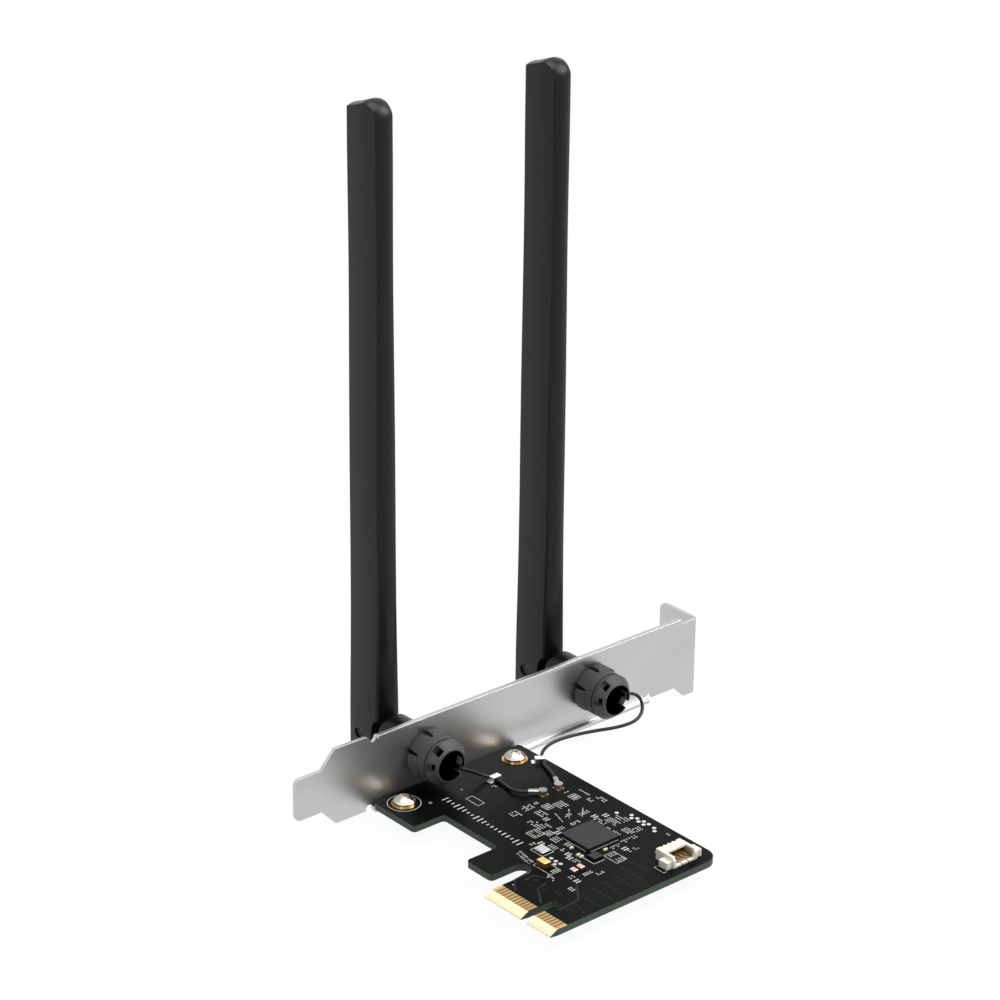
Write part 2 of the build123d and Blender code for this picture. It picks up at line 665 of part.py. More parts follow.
def make_lead(route, place, angle):
    """Thin coaxial lead that runs straight out of its plug's tail."""
    exit_point = plug_line(place, angle, PLUG_TAIL + LEAD_EXIT_RUN)
    points = list(route) + [exit_point, plug_line(place, angle, PLUG_TAIL)]
    radii = lead_radii(points)
    path = FilletPolyline(*points, radius=radii)
    start = Vector(*points[0])
    section = Plane(origin=start, z_dir=Vector(*points[1]) - start) * Circle(LEAD_R)
    lead = sweep(section, path)
    expected = math.pi * LEAD_R ** 2 * path.length
    print("lead", round(path.length, 2), "mm, volume share", round(lead.volume / expected, 4))
    print("radii", [round(r, 1) for r in radii])
    return lead


def around(x, shape, angle):
    """A shape drawn beside the Y axis, turned about it and moved to an antenna's axis."""
    return Pos(x, 0, AXIS_Z) * Rot(0, -angle, 0) * shape


def make_collar(x):
    """Plastic lock collar on the inside of the bracket, over the antenna's stem."""
    bore = STEM_R + STEM_FIT
    groove_back = INNER_FACE - COLLAR_GROOVE_AT + COLLAR_GROOVE_WIDTH / 2
    groove_front = INNER_FACE - COLLAR_GROOVE_AT - COLLAR_GROOVE_WIDTH / 2
    groove_r = COLLAR_R - COLLAR_GROOVE_DEPTH
    end_start = COLLAR_END + COLLAR_END_RUN
    ring_back = INNER_FACE - RING_AT + RING_T / 2 + RING_FIT
    ring_front = INNER_FACE - RING_AT - RING_T / 2 - RING_FIT
    collar = revolve(polygon([
        (bore, INNER_FACE), (COLLAR_R - COLLAR_EDGE, INNER_FACE), (COLLAR_R, INNER_FACE - COLLAR_EDGE),
        (COLLAR_R, groove_back), (groove_r, groove_back), (groove_r, groove_front), (COLLAR_R, groove_front),
        (COLLAR_R, end_start), (COLLAR_R - COLLAR_END_DROP, COLLAR_END), (bore, COLLAR_END),
        (bore, ring_front), (RING_R + RING_FIT, ring_front), (RING_R + RING_FIT, ring_back),
        (bore, ring_back),
    ]), Axis.Y)
    collar = Pos(x, 0, AXIS_Z) * collar
    step = 360 / SPLIT_COUNT
    finger_end = INNER_FACE - FINGER_GAP
    finger_root = INNER_FACE - SPLIT_LENGTH
    finger = revolve(polygon([
        (COLLAR_R - COLLAR_EDGE, finger_end), (FINGER_R - FINGER_EDGE, finger_end),
        (FINGER_R, finger_end - FINGER_EDGE), (FINGER_R, finger_root + FINGER_EDGE),
        (COLLAR_R, finger_root), (COLLAR_R - COLLAR_EDGE, finger_root),
    ]), Axis.Y, step)
    for i in range(0, SPLIT_COUNT, 2):
        collar += around(x, finger, SPLIT_ANGLE - step * i)
    hollow = STEM_R / 2
    split = polygon([
        (INNER_FACE, -SPLIT_WIDE / 2), (INNER_FACE, SPLIT_WIDE / 2),
        (INNER_FACE - SPLIT_LENGTH, SPLIT_NARROW / 2), (INNER_FACE - SPLIT_LENGTH, -SPLIT_NARROW / 2),
    ])
    for i in range(SPLIT_COUNT):
        collar -= around(x, prism_x(split, hollow, FINGER_R), SPLIT_ANGLE + step * i)
    window_y = INNER_FACE - WINDOW_AT
    half = WINDOW_WIDTH / 2
    low = (hollow, window_y - WINDOW_LENGTH / 2, -half)
    window = block(low, (COLLAR_R, window_y + WINDOW_LENGTH / 2, half))
    for angle in WINDOW_ANGLES:
        collar -= around(x, window, angle)
    half = LEAD_SLOT_WIDTH / 2
    slot = block((hollow, COLLAR_END, -half), (COLLAR_R, COLLAR_END + LEAD_SLOT_DEPTH, half))
    return collar - around(x, slot, LEAD_SLOT_ANGLE)


def make_retaining_ring(x):
    """Split ring in the stem's groove, which runs in the collar's groove."""
    ring = Circle(RING_R) - Circle(STEM_R - RING_DEPTH + RING_FIT)
    ring -= Pos(0, -RING_R / 2) * Rectangle(RING_GAP, RING_R)
    middle = INNER_FACE - RING_AT
    return Pos(x, 0, AXIS_Z) * prism_y(ring, middle - RING_T / 2, middle + RING_T / 2)


def make_swivel_base(x):
    """Stem and barrel that turn in the bracket, with the flat tongue of the fold hinge."""
    barrel_end = OUTER_FACE + BARREL_LENGTH
    bore_end = OUTER_FACE + LEAD_BORE_DEPTH
    ring_back = INNER_FACE - RING_AT + RING_T / 2 + RING_FIT
    ring_front = INNER_FACE - RING_AT - RING_T / 2 - RING_FIT
    groove_r = STEM_R - RING_DEPTH
    inset = BARREL_END_R * (1 - math.sqrt(0.5))
    section = make_face([
        Polyline(
            (0, barrel_end), (0, bore_end), (LEAD_BORE_R, bore_end), (LEAD_BORE_R, STEM_END),
            (STEM_R, STEM_END), (STEM_R, ring_front), (groove_r, ring_front), (groove_r, ring_back),
            (STEM_R, ring_back), (STEM_R, BARREL_BASE), (BARREL_R, BARREL_BASE),
            (BARREL_R, barrel_end - BARREL_END_R),
        ),
        ThreePointArc(
            (BARREL_R, barrel_end - BARREL_END_R), (BARREL_R - inset, barrel_end - inset),
            (BARREL_R - BARREL_END_R, barrel_end),
        ),
        Line((BARREL_R - BARREL_END_R, barrel_end), (0, barrel_end)),
    ])
    base = Pos(x, 0, AXIS_Z) * revolve(section, Axis.Y)
    root = barrel_end - BARREL_END_R
    tongue = polygon([
        (root, AXIS_Z - TONGUE_ROOT_HALF), (root, AXIS_Z + TONGUE_ROOT_HALF),
        (PIN_Y, PIN_Z + TONGUE_PLATE_R), (PIN_Y, PIN_Z - TONGUE_PLATE_R),
    ])
    tongue += Pos(PIN_Y, PIN_Z) * Circle(TONGUE_PLATE_R)
    tongue -= Pos(PIN_Y, PIN_Z) * Circle(HINGE_PIN_R + HINGE_FIT)
    return base + prism_x(tongue, x - TONGUE_PLATE_T / 2, x + TONGUE_PLATE_T / 2)


def make_hinge_pin(x):
    half = BLADE_FORK_T / 2 - HINGE_PIN_INSET
    return prism_x(Pos(PIN_Y, PIN_Z) * Circle(HINGE_PIN_R), x - half, x + half)


def blade_section(x, z, thick, wide, edge_r):
    """Level cut through a blade: four bowed sides with rounded corners."""
    flat = thick / 2 - BLADE_CROWN_X
    middle = (BLADE_NEAR + BLADE_FAR) / 2
    near, far = middle - wide / 2, middle + wide / 2
    near_corner, far_corner = near + BLADE_CROWN_Y, far - BLADE_CROWN_Y
    outline = make_face([
        ThreePointArc((-flat, near_corner), (0, near), (flat, near_corner)),
        ThreePointArc((flat, near_corner), (thick / 2, middle), (flat, far_corner)),
        ThreePointArc((flat, far_corner), (0, far), (-flat, far_corner)),
        ThreePointArc((-flat, far_corner), (-thick / 2, middle), (-flat, near_corner)),
    ])
    return Pos(x, 0, z) * fillet(outline.vertices(), edge_r)


def blade_side():
    """Side view of a blade in Y and Z: round ears, a notch above the barrel and a round top."""
    notch_y = BLADE_NEAR + NOTCH_DEPTH
    notch_low = PIN_Z + NOTCH_LOW
    notch_top = PIN_Z + NOTCH_TOP
    bottom = PIN_Z - EAR_R
    diagonal = EAR_R * math.sqrt(0.5)
    outline = make_face([
        ThreePointArc((PIN_Y - EAR_R, PIN_Z), (PIN_Y - diagonal, PIN_Z - diagonal), (PIN_Y, bottom)),
        Polyline(
            (PIN_Y, bottom), (PIN_Y + EAR_R, bottom), (PIN_Y + EAR_R, BLADE_TOP),
            (BLADE_NEAR, BLADE_TOP), (BLADE_NEAR, notch_top),
        ),
        RadiusArc((BLADE_NEAR, notch_top), (notch_y, notch_low), NOTCH_R),
        Line((notch_y, notch_low), (PIN_Y - EAR_R, PIN_Z)),
    ])
    outline = rounded(outline, [(PIN_Y + EAR_R, bottom)], HEEL_R)
    outline = rounded(outline, [(BLADE_NEAR, BLADE_TOP)], BLADE_NEAR_R)
    far_r = min(BLADE_FAR_R, BLADE_WIDTH - BLADE_NEAR_R - BLADE_CREST)
    return rounded(outline, [(PIN_Y + EAR_R, BLADE_TOP)], far_r)


def make_blade(x):
    """Hollow moulded antenna blade that ends in the fork of its hinge."""
    levels = [
        blade_section(x, PIN_Z - EAR_R, BLADE_FORK_T, BLADE_WIDTH, BLADE_FOOT_EDGE_R),
        blade_section(x, PIN_Z + EAR_R, BLADE_FORK_T, BLADE_WIDTH, BLADE_FOOT_EDGE_R),
    ]
    taper_low = PIN_Z + BLADE_LOW_AT
    taper_top = BLADE_TOP + BLADE_SPARE
    for i in range(BLADE_LEVELS):
        share = i / (BLADE_LEVELS - 1)
        thick = BLADE_LOW_T + (BLADE_TOP_T - BLADE_LOW_T) * share
        wide = BLADE_WIDTH + (BLADE_TOP_WIDTH - BLADE_WIDTH) * share
        edge_r = BLADE_LOW_EDGE_R + (BLADE_TOP_EDGE_R - BLADE_LOW_EDGE_R) * share
        levels.append(blade_section(x, taper_low + (taper_top - taper_low) * share, thick, wide, edge_r))
    blade = loft(levels)
    blade &= prism_x(blade_side(), x - BLADE_FORK_T, x + BLADE_FORK_T)
    middle = (BLADE_NEAR + BLADE_FAR) / 2
    half = FORK_SLOT / 2
    near_low = (x - half, BLADE_NEAR - BLADE_SPARE, PIN_Z - EAR_R - BLADE_SPARE)
    blade -= block(near_low, (x + half, BLADE_FAR + BLADE_SPARE, FORK_ROOF))
    low = (x - CAVITY_T / 2, middle - CAVITY_WIDTH / 2, FORK_ROOF)
    blade -= block(low, (x + CAVITY_T / 2, middle + CAVITY_WIDTH / 2, BLADE_TOP - CAVITY_TOP_WALL))
    hole = Pos(PIN_Y, PIN_Z) * Circle(HINGE_PIN_R + HINGE_PRESS)
    return blade - prism_x(hole, x - BLADE_FORK_T, x + BLADE_FORK_T)


def make_radiator(x):
    """Flat antenna strip inside the blade, with a narrow feed at its foot."""
    middle = (BLADE_NEAR + BLADE_FAR) / 2
    half_t = CAVITY_T / 2 - RADIATOR_FIT
    half_w = CAVITY_WIDTH / 2 - RADIATOR_FIT
    low = FORK_ROOF + RADIATOR_RISE
    top = BLADE_TOP - RADIATOR_TOP_GAP
    strip = block((x - half_t, middle - half_w, low), (x + half_t, middle + half_w, top))
    neck = (x - half_t, middle - RADIATOR_NECK, low - RADIATOR_NECK_LENGTH)
    return strip + block(neck, (x + half_t, middle + RADIATOR_NECK, low))


SIDES = ("left", "right")

parts = {
    "circuit_board": make_board(),
    "edge_contacts": make_edge_contacts(),
    "bracket": make_bracket(),
    "board_screws": Compound(children=[make_screw(x) for x in SCREW_XS]),
    "screw_pads": Compound(children=[make_screw_pad(x) for x in SCREW_XS]),
    "main_chip": make_main_chip(),
    "regulator_chip": soldered(SMALL_CHIP_SIZE, SMALL_CHIP_AT, CHIP_EDGE),
    "crystal": make_crystal(),
    "tantalum_capacitor": soldered(TANTALUM_SIZE, TANTALUM_AT, TANTALUM_EDGE),
    "bulk_capacitors": Compound(children=[soldered(BULK_CAP_SIZE, at, CAP_EDGE) for at in BULK_CAP_AT]),
    "small_capacitors": Compound(children=[soldered(SMALL_CAP_SIZE, at, CAP_EDGE) for at in SMALL_CAP_AT]),
    "header_housing": make_header_housing(),
    "header_pins": make_header_pins(),
}
for i, side in enumerate(SIDES):
    parts[f"coax_jack_{side}"] = make_jack(JACK_ATS[i])
    parts[f"coax_plug_{side}"] = make_plug(JACK_ATS[i], PLUG_ANGLES[i])
    parts[f"lead_clip_{side}"] = make_clip(CLIP_ATS[i], CLIP_ANGLES[i])
    parts[f"coax_lead_{side}"] = make_lead(LEAD_ROUTES[i], JACK_ATS[i], PLUG_ANGLES[i])
    parts[f"lock_collar_{side}"] = make_collar(AXIS_XS[i])
    parts[f"retaining_ring_{side}"] = make_retaining_ring(AXIS_XS[i])
    parts[f"swivel_base_{side}"] = make_swivel_base(AXIS_XS[i])
    parts[f"hinge_pin_{side}"] = make_hinge_pin(AXIS_XS[i])
    parts[f"antenna_blade_{side}"] = make_blade(AXIS_XS[i])
    parts[f"radiator_{side}"] = make_radiator(AXIS_XS[i])

os.makedirs("parts", exist_ok=True)
for name, solid in parts.items():
    export_step(solid, f"parts/{name}.step")
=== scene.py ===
import json
import math
import random

import bmesh
import bpy
from mathutils import Matrix, Vector

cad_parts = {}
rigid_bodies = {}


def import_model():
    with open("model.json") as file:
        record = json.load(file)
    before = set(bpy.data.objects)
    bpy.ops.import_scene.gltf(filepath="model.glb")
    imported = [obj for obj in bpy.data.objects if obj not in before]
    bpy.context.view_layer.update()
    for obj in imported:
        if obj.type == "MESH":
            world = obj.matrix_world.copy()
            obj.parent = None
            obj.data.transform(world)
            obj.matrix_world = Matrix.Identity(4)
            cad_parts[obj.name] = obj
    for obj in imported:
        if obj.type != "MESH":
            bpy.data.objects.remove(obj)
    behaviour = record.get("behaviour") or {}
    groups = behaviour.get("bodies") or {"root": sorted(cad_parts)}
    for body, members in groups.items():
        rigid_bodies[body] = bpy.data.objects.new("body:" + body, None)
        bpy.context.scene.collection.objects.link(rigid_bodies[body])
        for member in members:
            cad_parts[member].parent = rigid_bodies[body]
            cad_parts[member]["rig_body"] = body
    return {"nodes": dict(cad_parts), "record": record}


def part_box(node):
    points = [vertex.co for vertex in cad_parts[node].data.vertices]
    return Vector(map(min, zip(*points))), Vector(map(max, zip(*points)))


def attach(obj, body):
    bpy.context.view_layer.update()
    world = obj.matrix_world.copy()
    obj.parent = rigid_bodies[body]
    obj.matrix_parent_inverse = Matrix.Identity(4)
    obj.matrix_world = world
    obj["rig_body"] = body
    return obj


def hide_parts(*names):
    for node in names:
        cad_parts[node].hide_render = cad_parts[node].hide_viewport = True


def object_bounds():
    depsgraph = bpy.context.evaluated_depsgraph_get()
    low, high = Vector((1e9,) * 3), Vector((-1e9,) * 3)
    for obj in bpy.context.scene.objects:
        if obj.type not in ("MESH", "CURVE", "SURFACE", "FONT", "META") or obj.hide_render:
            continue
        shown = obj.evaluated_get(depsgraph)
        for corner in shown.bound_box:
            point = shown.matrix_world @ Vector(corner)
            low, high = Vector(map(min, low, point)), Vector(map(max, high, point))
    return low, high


# A wireless card with two folding antennas, dressed over its solids. Places are in millimetres and
# become metres where a mesh is made. X runs along the bracket, Y out of the computer and Z up.

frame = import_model()
cad_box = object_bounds()
nodes = frame["nodes"]
MM = 0.001

# Places and sizes shared with the solids, in millimetres and degrees
BOARD_TOP = 0.785
SIDES = ("left", "right")
SCREWS = ((11.0, 53.04), (43.2, 53.04))
CHIP = (32.5, 15.6, 9.2, 9.0)
BEVEL_END = 2.0
CONTACT_END = 4.7
JACKS = ((36.95, 36.3), (41.5, 36.2))
PLUG_ANGLES = (141.0, 61.0)
LEAD_D = 0.81
AXIS_XS = (21.38, 71.0)
AXIS_Z = 8.01
BORE_R = 3.62
BRACKET_FRONT = 58.1
CONTACT_MIDDLE_Y = 2.0
CONTACT_HALF_SPAN = 9.85
CRYSTAL_BASE_TOP = 0.34
MOUTH_X = 40.575
MOUTH_HALF_WIDTH = 2.79
MOUTH_Y = (-5.0, -1.45)
MOUTH_RISE = (0.44, 2.12)
TANTALUM_PLACES = ((16.81, 12.97),)
TANTALUM_HALF_LENGTH = 1.375
TANTALUM_CAP = 0.25
BULK_PLACES = ((20.05, 6.93), (22.06, 7.01))
BULK_HALF_LENGTH = 0.8
BULK_CAP = 0.3
BLADE_WIDTH = 11.2

# An antenna's top: bend at the near side, slope to the far corner, and crown from side to side
TOP_NEAR_R = 4.6
TOP_FAR_R = 1.8
TOP_SLOPE = 0.36
TOP_CROWN = 0.6
TOP_DROP = 0.1
TOP_REACH = 7.7
TOP_RINGS = 34
TOP_MERGE = 0.004

# Broken edges of the dressed solids
EDGE_SEGMENTS = 2
EDGE_ANGLE = 28
SMOOTH_ANGLE = 36
FLAT_ANGLE = 0.4
WELD = 2e-4
CUT_WELD = 1e-4

# Print, pads and covered holes on the board
PRINT_T = 0.02
PRINT_LINE = 0.14
PRINT_BEND = 0.1
TRACK_WIDTH = 0.5
TRACK_BEND = 0.8
MARK_REACH = 0.25
ROUND_PAD_D = 0.95
SMALL_PAD = (0.42, 0.36)
SMALL_PAD_XS = (-0.5, 0.0, 0.5)
SMALL_PAD_YS = (-0.4, 0.4)
CHIP_PADS = 16
CHIP_PITCH = 0.5
CHIP_PAD = (0.26, 0.3)
CHIP_PAD_OUT = 0.2
VIA_R = 0.32
VIA_RIM_R = 0.5

# Studio and camera
SKY_LEVEL = 0.32
FLOOR_REACH = 6000.0
FLOOR_GAP = 0.1
FLOOR_WHITE = 0.95
LAMP_TARGET = (35, 45, 40)
LAMPS = (
    ("front_soft", (560, -330, 660), 600, 500, 6.0),
    ("left_soft", (-760, -300, 600), 300, 600, 1.5),
    ("top_soft", (100, 60, 900), 700, 500, 5.0),
)
CAMERA_EYE = (-370.713, -421.798, 341.613)
CAMERA_FORWARD = (0.597273, 0.69382, -0.402343)
CAMERA_RIGHT = (0.760365, -0.649435, 0.008834)
CAMERA_SENSOR = 36.0
CAMERA_LENS = 113.35
CAMERA_CLIP = 0.01


def tone(red, green, blue):
    """A colour given as it looks on a screen, 0 to 255, as a linear colour."""
    linear = []
    for value in (red, green, blue):
        c = value / 255
        linear.append(c / 12.92 if c <= 0.04045 else ((c + 0.055) / 1.055) ** 2.4)
    return (*linear, 1.0)


class Amount:
    """A value in a finish. Sums and products of amounts add the nodes that work them out."""

    def __init__(self, finish, socket):
        self.finish = finish
        self.socket = socket

    def maths(self, operation, first, second=None):
        values = [first] if second is None else [first, second]
        return self.finish.node("ShaderNodeMath", {"operation": operation}, values)

    def __add__(self, other):
        return self.maths("ADD", self, other)

    def __sub__(self, other):
        return self.maths("SUBTRACT", self, other)

    def __rsub__(self, other):
        return self.maths("SUBTRACT", other, self)

    def __mul__(self, other):
        return self.maths("MULTIPLY", self, other)

    def __gt__(self, other):
        return self.maths("GREATER_THAN", self, other)

    def __lt__(self, other):
        return self.maths("LESS_THAN", self, other)

    def __abs__(self):
        return self.maths("ABSOLUTE", self)


class Graph:
    """A tree of nodes, for a finish or for a shape."""

    def __init__(self, tree):
        self.tree = tree

    def node(self, kind, settings=None, inputs=(), output=0):
        made = self.tree.nodes.new(kind)
        for key, value in (settings or {}).items():
            setattr(made, key, value)
        pairs = inputs.items() if isinstance(inputs, dict) else enumerate(inputs)
        for key, value in pairs:
            if isinstance(value, Amount):
                self.tree.links.new(value.socket, made.inputs[key])
            else:
                made.inputs[key].default_value = value
        return Amount(self, made.outputs[output]) if made.outputs else None


class Finish(Graph):
    """A material on the object's own coordinates, with one main shader."""

    def __init__(self, name, **constants):
        self.material = bpy.data.materials.new(name)
        self.material.use_nodes = True
        super().__init__(self.material.node_tree)
        self.shader = self.tree.nodes["Principled BSDF"]
        for socket, value in constants.items():
            self.shader.inputs[socket.replace("_", " ")].default_value = value
        self.place = self.node("ShaderNodeTexCoord", output="Object")

    def axes(self, vector=None):
        """The three parts of a vector; the object's own place unless another is given."""
        vector = vector or self.place
        return [self.node("ShaderNodeSeparateXYZ", inputs=[vector], output=i) for i in range(3)]

    def noise(self, size_mm, detail=2.0, stretch=(1, 1, 1)):
        """Uneven grain whose lumps are about size_mm across, from 0 to 1."""
        vector = self.node("ShaderNodeMapping", inputs={"Vector": self.place, "Scale": stretch})
        inputs = {"Vector": vector, "Scale": 1 / (size_mm * MM), "Detail": detail}
        return self.node("ShaderNodeTexNoise", inputs=inputs)

    def mix(self, factor, first, second):
        return self.node("ShaderNodeMix", {"data_type": "RGBA"}, {0: factor, 6: first, 7: second}, 2)

    def spread(self, value, low, high):
        """A value from 0 to 1 drawn out between two others."""
        return value * (high - low) + low

    def bump(self, height, depth_mm):
        inputs = {"Height": height, "Distance": depth_mm * MM, "Strength": 1.0}
        self.set("Normal", self.node("ShaderNodeBump", inputs=inputs))

    def set(self, socket, value):
        self.tree.links.new(value.socket, self.shader.inputs[socket])


def plain_finish(name, dark, light, grain_mm, rough, bump_mm=0.0, **constants):
    """A finish that wavers between two colours and two roughnesses, with a fine grain."""
    f = Finish(name, **constants)
    cloud = f.noise(grain_mm * 12, 3)
    grain = f.noise(grain_mm, 2)
    f.set("Base Color", f.mix(cloud * 0.6 + grain * 0.4, dark, light))
    f.set("Roughness", f.spread(cloud * 0.5 + grain * 0.5, *rough))
    if bump_mm:
        f.bump(grain, bump_mm)
    return f.material


def board_finish():
    """Black solder mask, bare cream bevel, gold and brown between the contacts and grey-green sides."""
    f = Finish("black_solder_mask", Specular_IOR_Level=0.05)
    x, y, _ = f.axes()
    _, lean, rise = f.axes(f.node("ShaderNodeNewGeometry", output="Normal"))
    flat = abs(rise) > 0.95
    cloud = f.noise(9, 2)
    grain = f.noise(0.35, 2)
    weave = f.noise(0.5, 1, (1, 1, 6))
    mask = f.mix(cloud, tone(6, 6, 7), tone(11, 12, 12))
    side = f.mix(weave, tone(54, 66, 58), tone(82, 94, 84))
    colour = f.mix(flat, side, mask)
    contacts = (x < (CONTACT_END + 0.02) * MM) * flat
    margin = abs(y - CONTACT_MIDDLE_Y * MM) > CONTACT_HALF_SPAN * MM
    bare = f.mix(margin, tone(88, 60, 30), tone(222, 184, 120))
    colour = f.mix(contacts, colour, bare)
    bevel = (x < BEVEL_END * MM) * (abs(lean) < 0.5)
    colour = f.mix(bevel, colour, f.mix(weave, tone(226, 220, 180), tone(240, 236, 204)))
    f.set("Base Color", colour)
    f.set("Roughness", f.spread(cloud * 0.5 + grain * 0.5, 0.24, 0.4))
    f.bump(grain, 0.005)
    return f.material


def bracket_finish():
    """Plated sheet with a fine grey speckle and a soft, blurred reflection."""
    f = Finish("plated_sheet", Metallic=1.0)
    speckle = f.noise(0.2, 3)
    cloud = f.noise(14, 2)
    shade = speckle * 0.7 + cloud * 0.3
    f.set("Base Color", f.mix(shade, tone(168, 168, 167), tone(220, 220, 218)))
    f.set("Roughness", f.spread(speckle, 0.26, 0.44))
    f.bump(speckle, 0.014)
    return f.material


def bore_painted_shade(f):
    """Painted shade: flat near-black inside the bores of the collars, where no light comes."""
    x, y, z = f.axes()
    across = abs(x - AXIS_XS[0] * MM)
    across = across.maths("MINIMUM", across, abs(x - AXIS_XS[1] * MM))
    rise = z - AXIS_Z * MM
    bore = (across * across + rise * rise < (BORE_R * MM) ** 2) * (y < BRACKET_FRONT * MM)
    # painted shade: a near-black diffuse shader replaces the finish inside each bore
    bore_shade_black = f.node("ShaderNodeBsdfDiffuse", inputs={"Color": tone(2, 2, 2)})
    both = f.node("ShaderNodeMixShader", inputs=[bore, Amount(f, f.shader.outputs[0]), bore_shade_black])
    f.tree.links.new(both.socket, f.tree.nodes["Material Output"].inputs["Surface"])


def black_plastic(name, dark, light, rough, specular):
    """Moulded satin black plastic with spark-eroded grain, with painted shade inside the collars' bores."""
    f = Finish(name, Specular_IOR_Level=specular)
    grain = f.noise(0.16, 3)
    cloud = f.noise(18, 2, (1, 1, 0.4))
    f.set("Base Color", f.mix(cloud * 0.5 + grain * 0.5, dark, light))
    f.set("Roughness", f.spread(cloud * 0.4 + grain * 0.6, *rough))
    f.bump(grain, 0.008)
    # painted shade inside the collars' bores
    bore_painted_shade(f)
    return f.material


def chip_finish():
    """Black moulding compound with a fine matt grain; the sides are painted in shade, far darker than the
    top.
    """
    f = Finish("moulding_compound", Specular_IOR_Level=0.15)
    grain = f.noise(0.12, 3)
    cloud = f.noise(3, 2)
    normal = f.node("ShaderNodeNewGeometry", output="Normal")
    up = f.axes(normal)[2] > 0.7
    top = f.mix(grain, tone(44, 45, 46), tone(60, 61, 62))
    # painted shade: faces that don't face up take a near-black tone instead of the top's grey
    f.set("Base Color", f.mix(up, tone(10, 10, 11), top))
    f.set("Roughness", f.spread(grain * 0.5 + cloud * 0.5, 0.5, 0.66))
    f.bump(grain, 0.006)
    return f.material


def capped_finish(name, sides, top, ends, middles, half, cap):
    """A chip part with plated ends along Y: the ends lie past a distance from each part's middle. Faces that
    don't face up take the sides colour, a painted shade darker than the top, the ends included.
    """
    f = Finish(name)
    x, y, _ = f.axes()
    grain = f.noise(0.1, 2)
    normal = f.node("ShaderNodeNewGeometry", output="Normal")
    up = f.axes(normal)[2] > 0.7
    dimmed = (*(0.85 * c for c in top[:3]), 1.0)
    # painted shade: side faces take the darker sides colour instead of the top's
    body = f.mix(grain, f.mix(up, sides, top), f.mix(up, sides, dimmed))
    inner = [
        (abs(y - at_y * MM) < (half - cap) * MM) * (abs(x - at_x * MM) < MM) for at_x, at_y in middles]
    inside = sum(inner[1:], inner[0])
    # painted shade on the plated ends where they face sideways
    f.set("Base Color", f.mix(inside, f.mix(up, sides, ends), body))
    f.set("Metallic", f.spread(inside, 0.4, 0.0))
    f.set("Roughness", f.spread(grain, 0.32, 0.5))
    return f.material


def crystal_finish():
    """Bright metal lid on a dark ceramic base."""
    f = Finish("crystal_lid")
    z = f.axes()[2]
    lid = z > (BOARD_TOP + CRYSTAL_BASE_TOP) * MM
    grain = f.noise(0.5, 3)
    metal = f.mix(grain, tone(205, 203, 196), tone(236, 234, 226))
    f.set("Base Color", f.mix(lid, tone(46, 40, 34), metal))
    f.set("Metallic", lid * 0.6)
    f.set("Roughness", f.spread(grain, 0.26, 0.42))
    return f.material


def header_finish():
    """Warm white nylon, with painted shade in brown inside the mouth."""
    f = Finish("warm_white_nylon", Specular_IOR_Level=0.3)
    x, y, z = f.axes()
    grain = f.noise(0.3, 3)
    inside = (abs(x - MOUTH_X * MM) < MOUTH_HALF_WIDTH * MM) * (y > MOUTH_Y[0] * MM) * (y < MOUTH_Y[1] * MM)
    rise = z - BOARD_TOP * MM
    inside = inside * (rise < MOUTH_RISE[1] * MM) * (rise > MOUTH_RISE[0] * MM)
    white = f.mix(grain, tone(222, 217, 203), tone(236, 232, 220))
    # painted shade: the mouth's inside is blended most of the way to a brown shade tone
    f.set("Base Color", f.mix(inside * 0.8, white, tone(132, 100, 68)))
    f.set("Roughness", f.spread(grain, 0.42, 0.58))
    f.bump(grain, 0.006)
    return f.material


def lead_finish():
    """Smooth black sheath, with painted shade inside the collars' bores."""
    f = Finish("lead_sheath", Specular_IOR_Level=0.35)
    grain = f.noise(0.4, 2)
    f.set("Base Color", f.mix(grain, tone(16, 16, 17), tone(27, 27, 28)))
    f.set("Roughness", f.spread(grain, 0.28, 0.4))
    # painted shade inside the collars' bores
    bore_painted_shade(f)
    return f.material


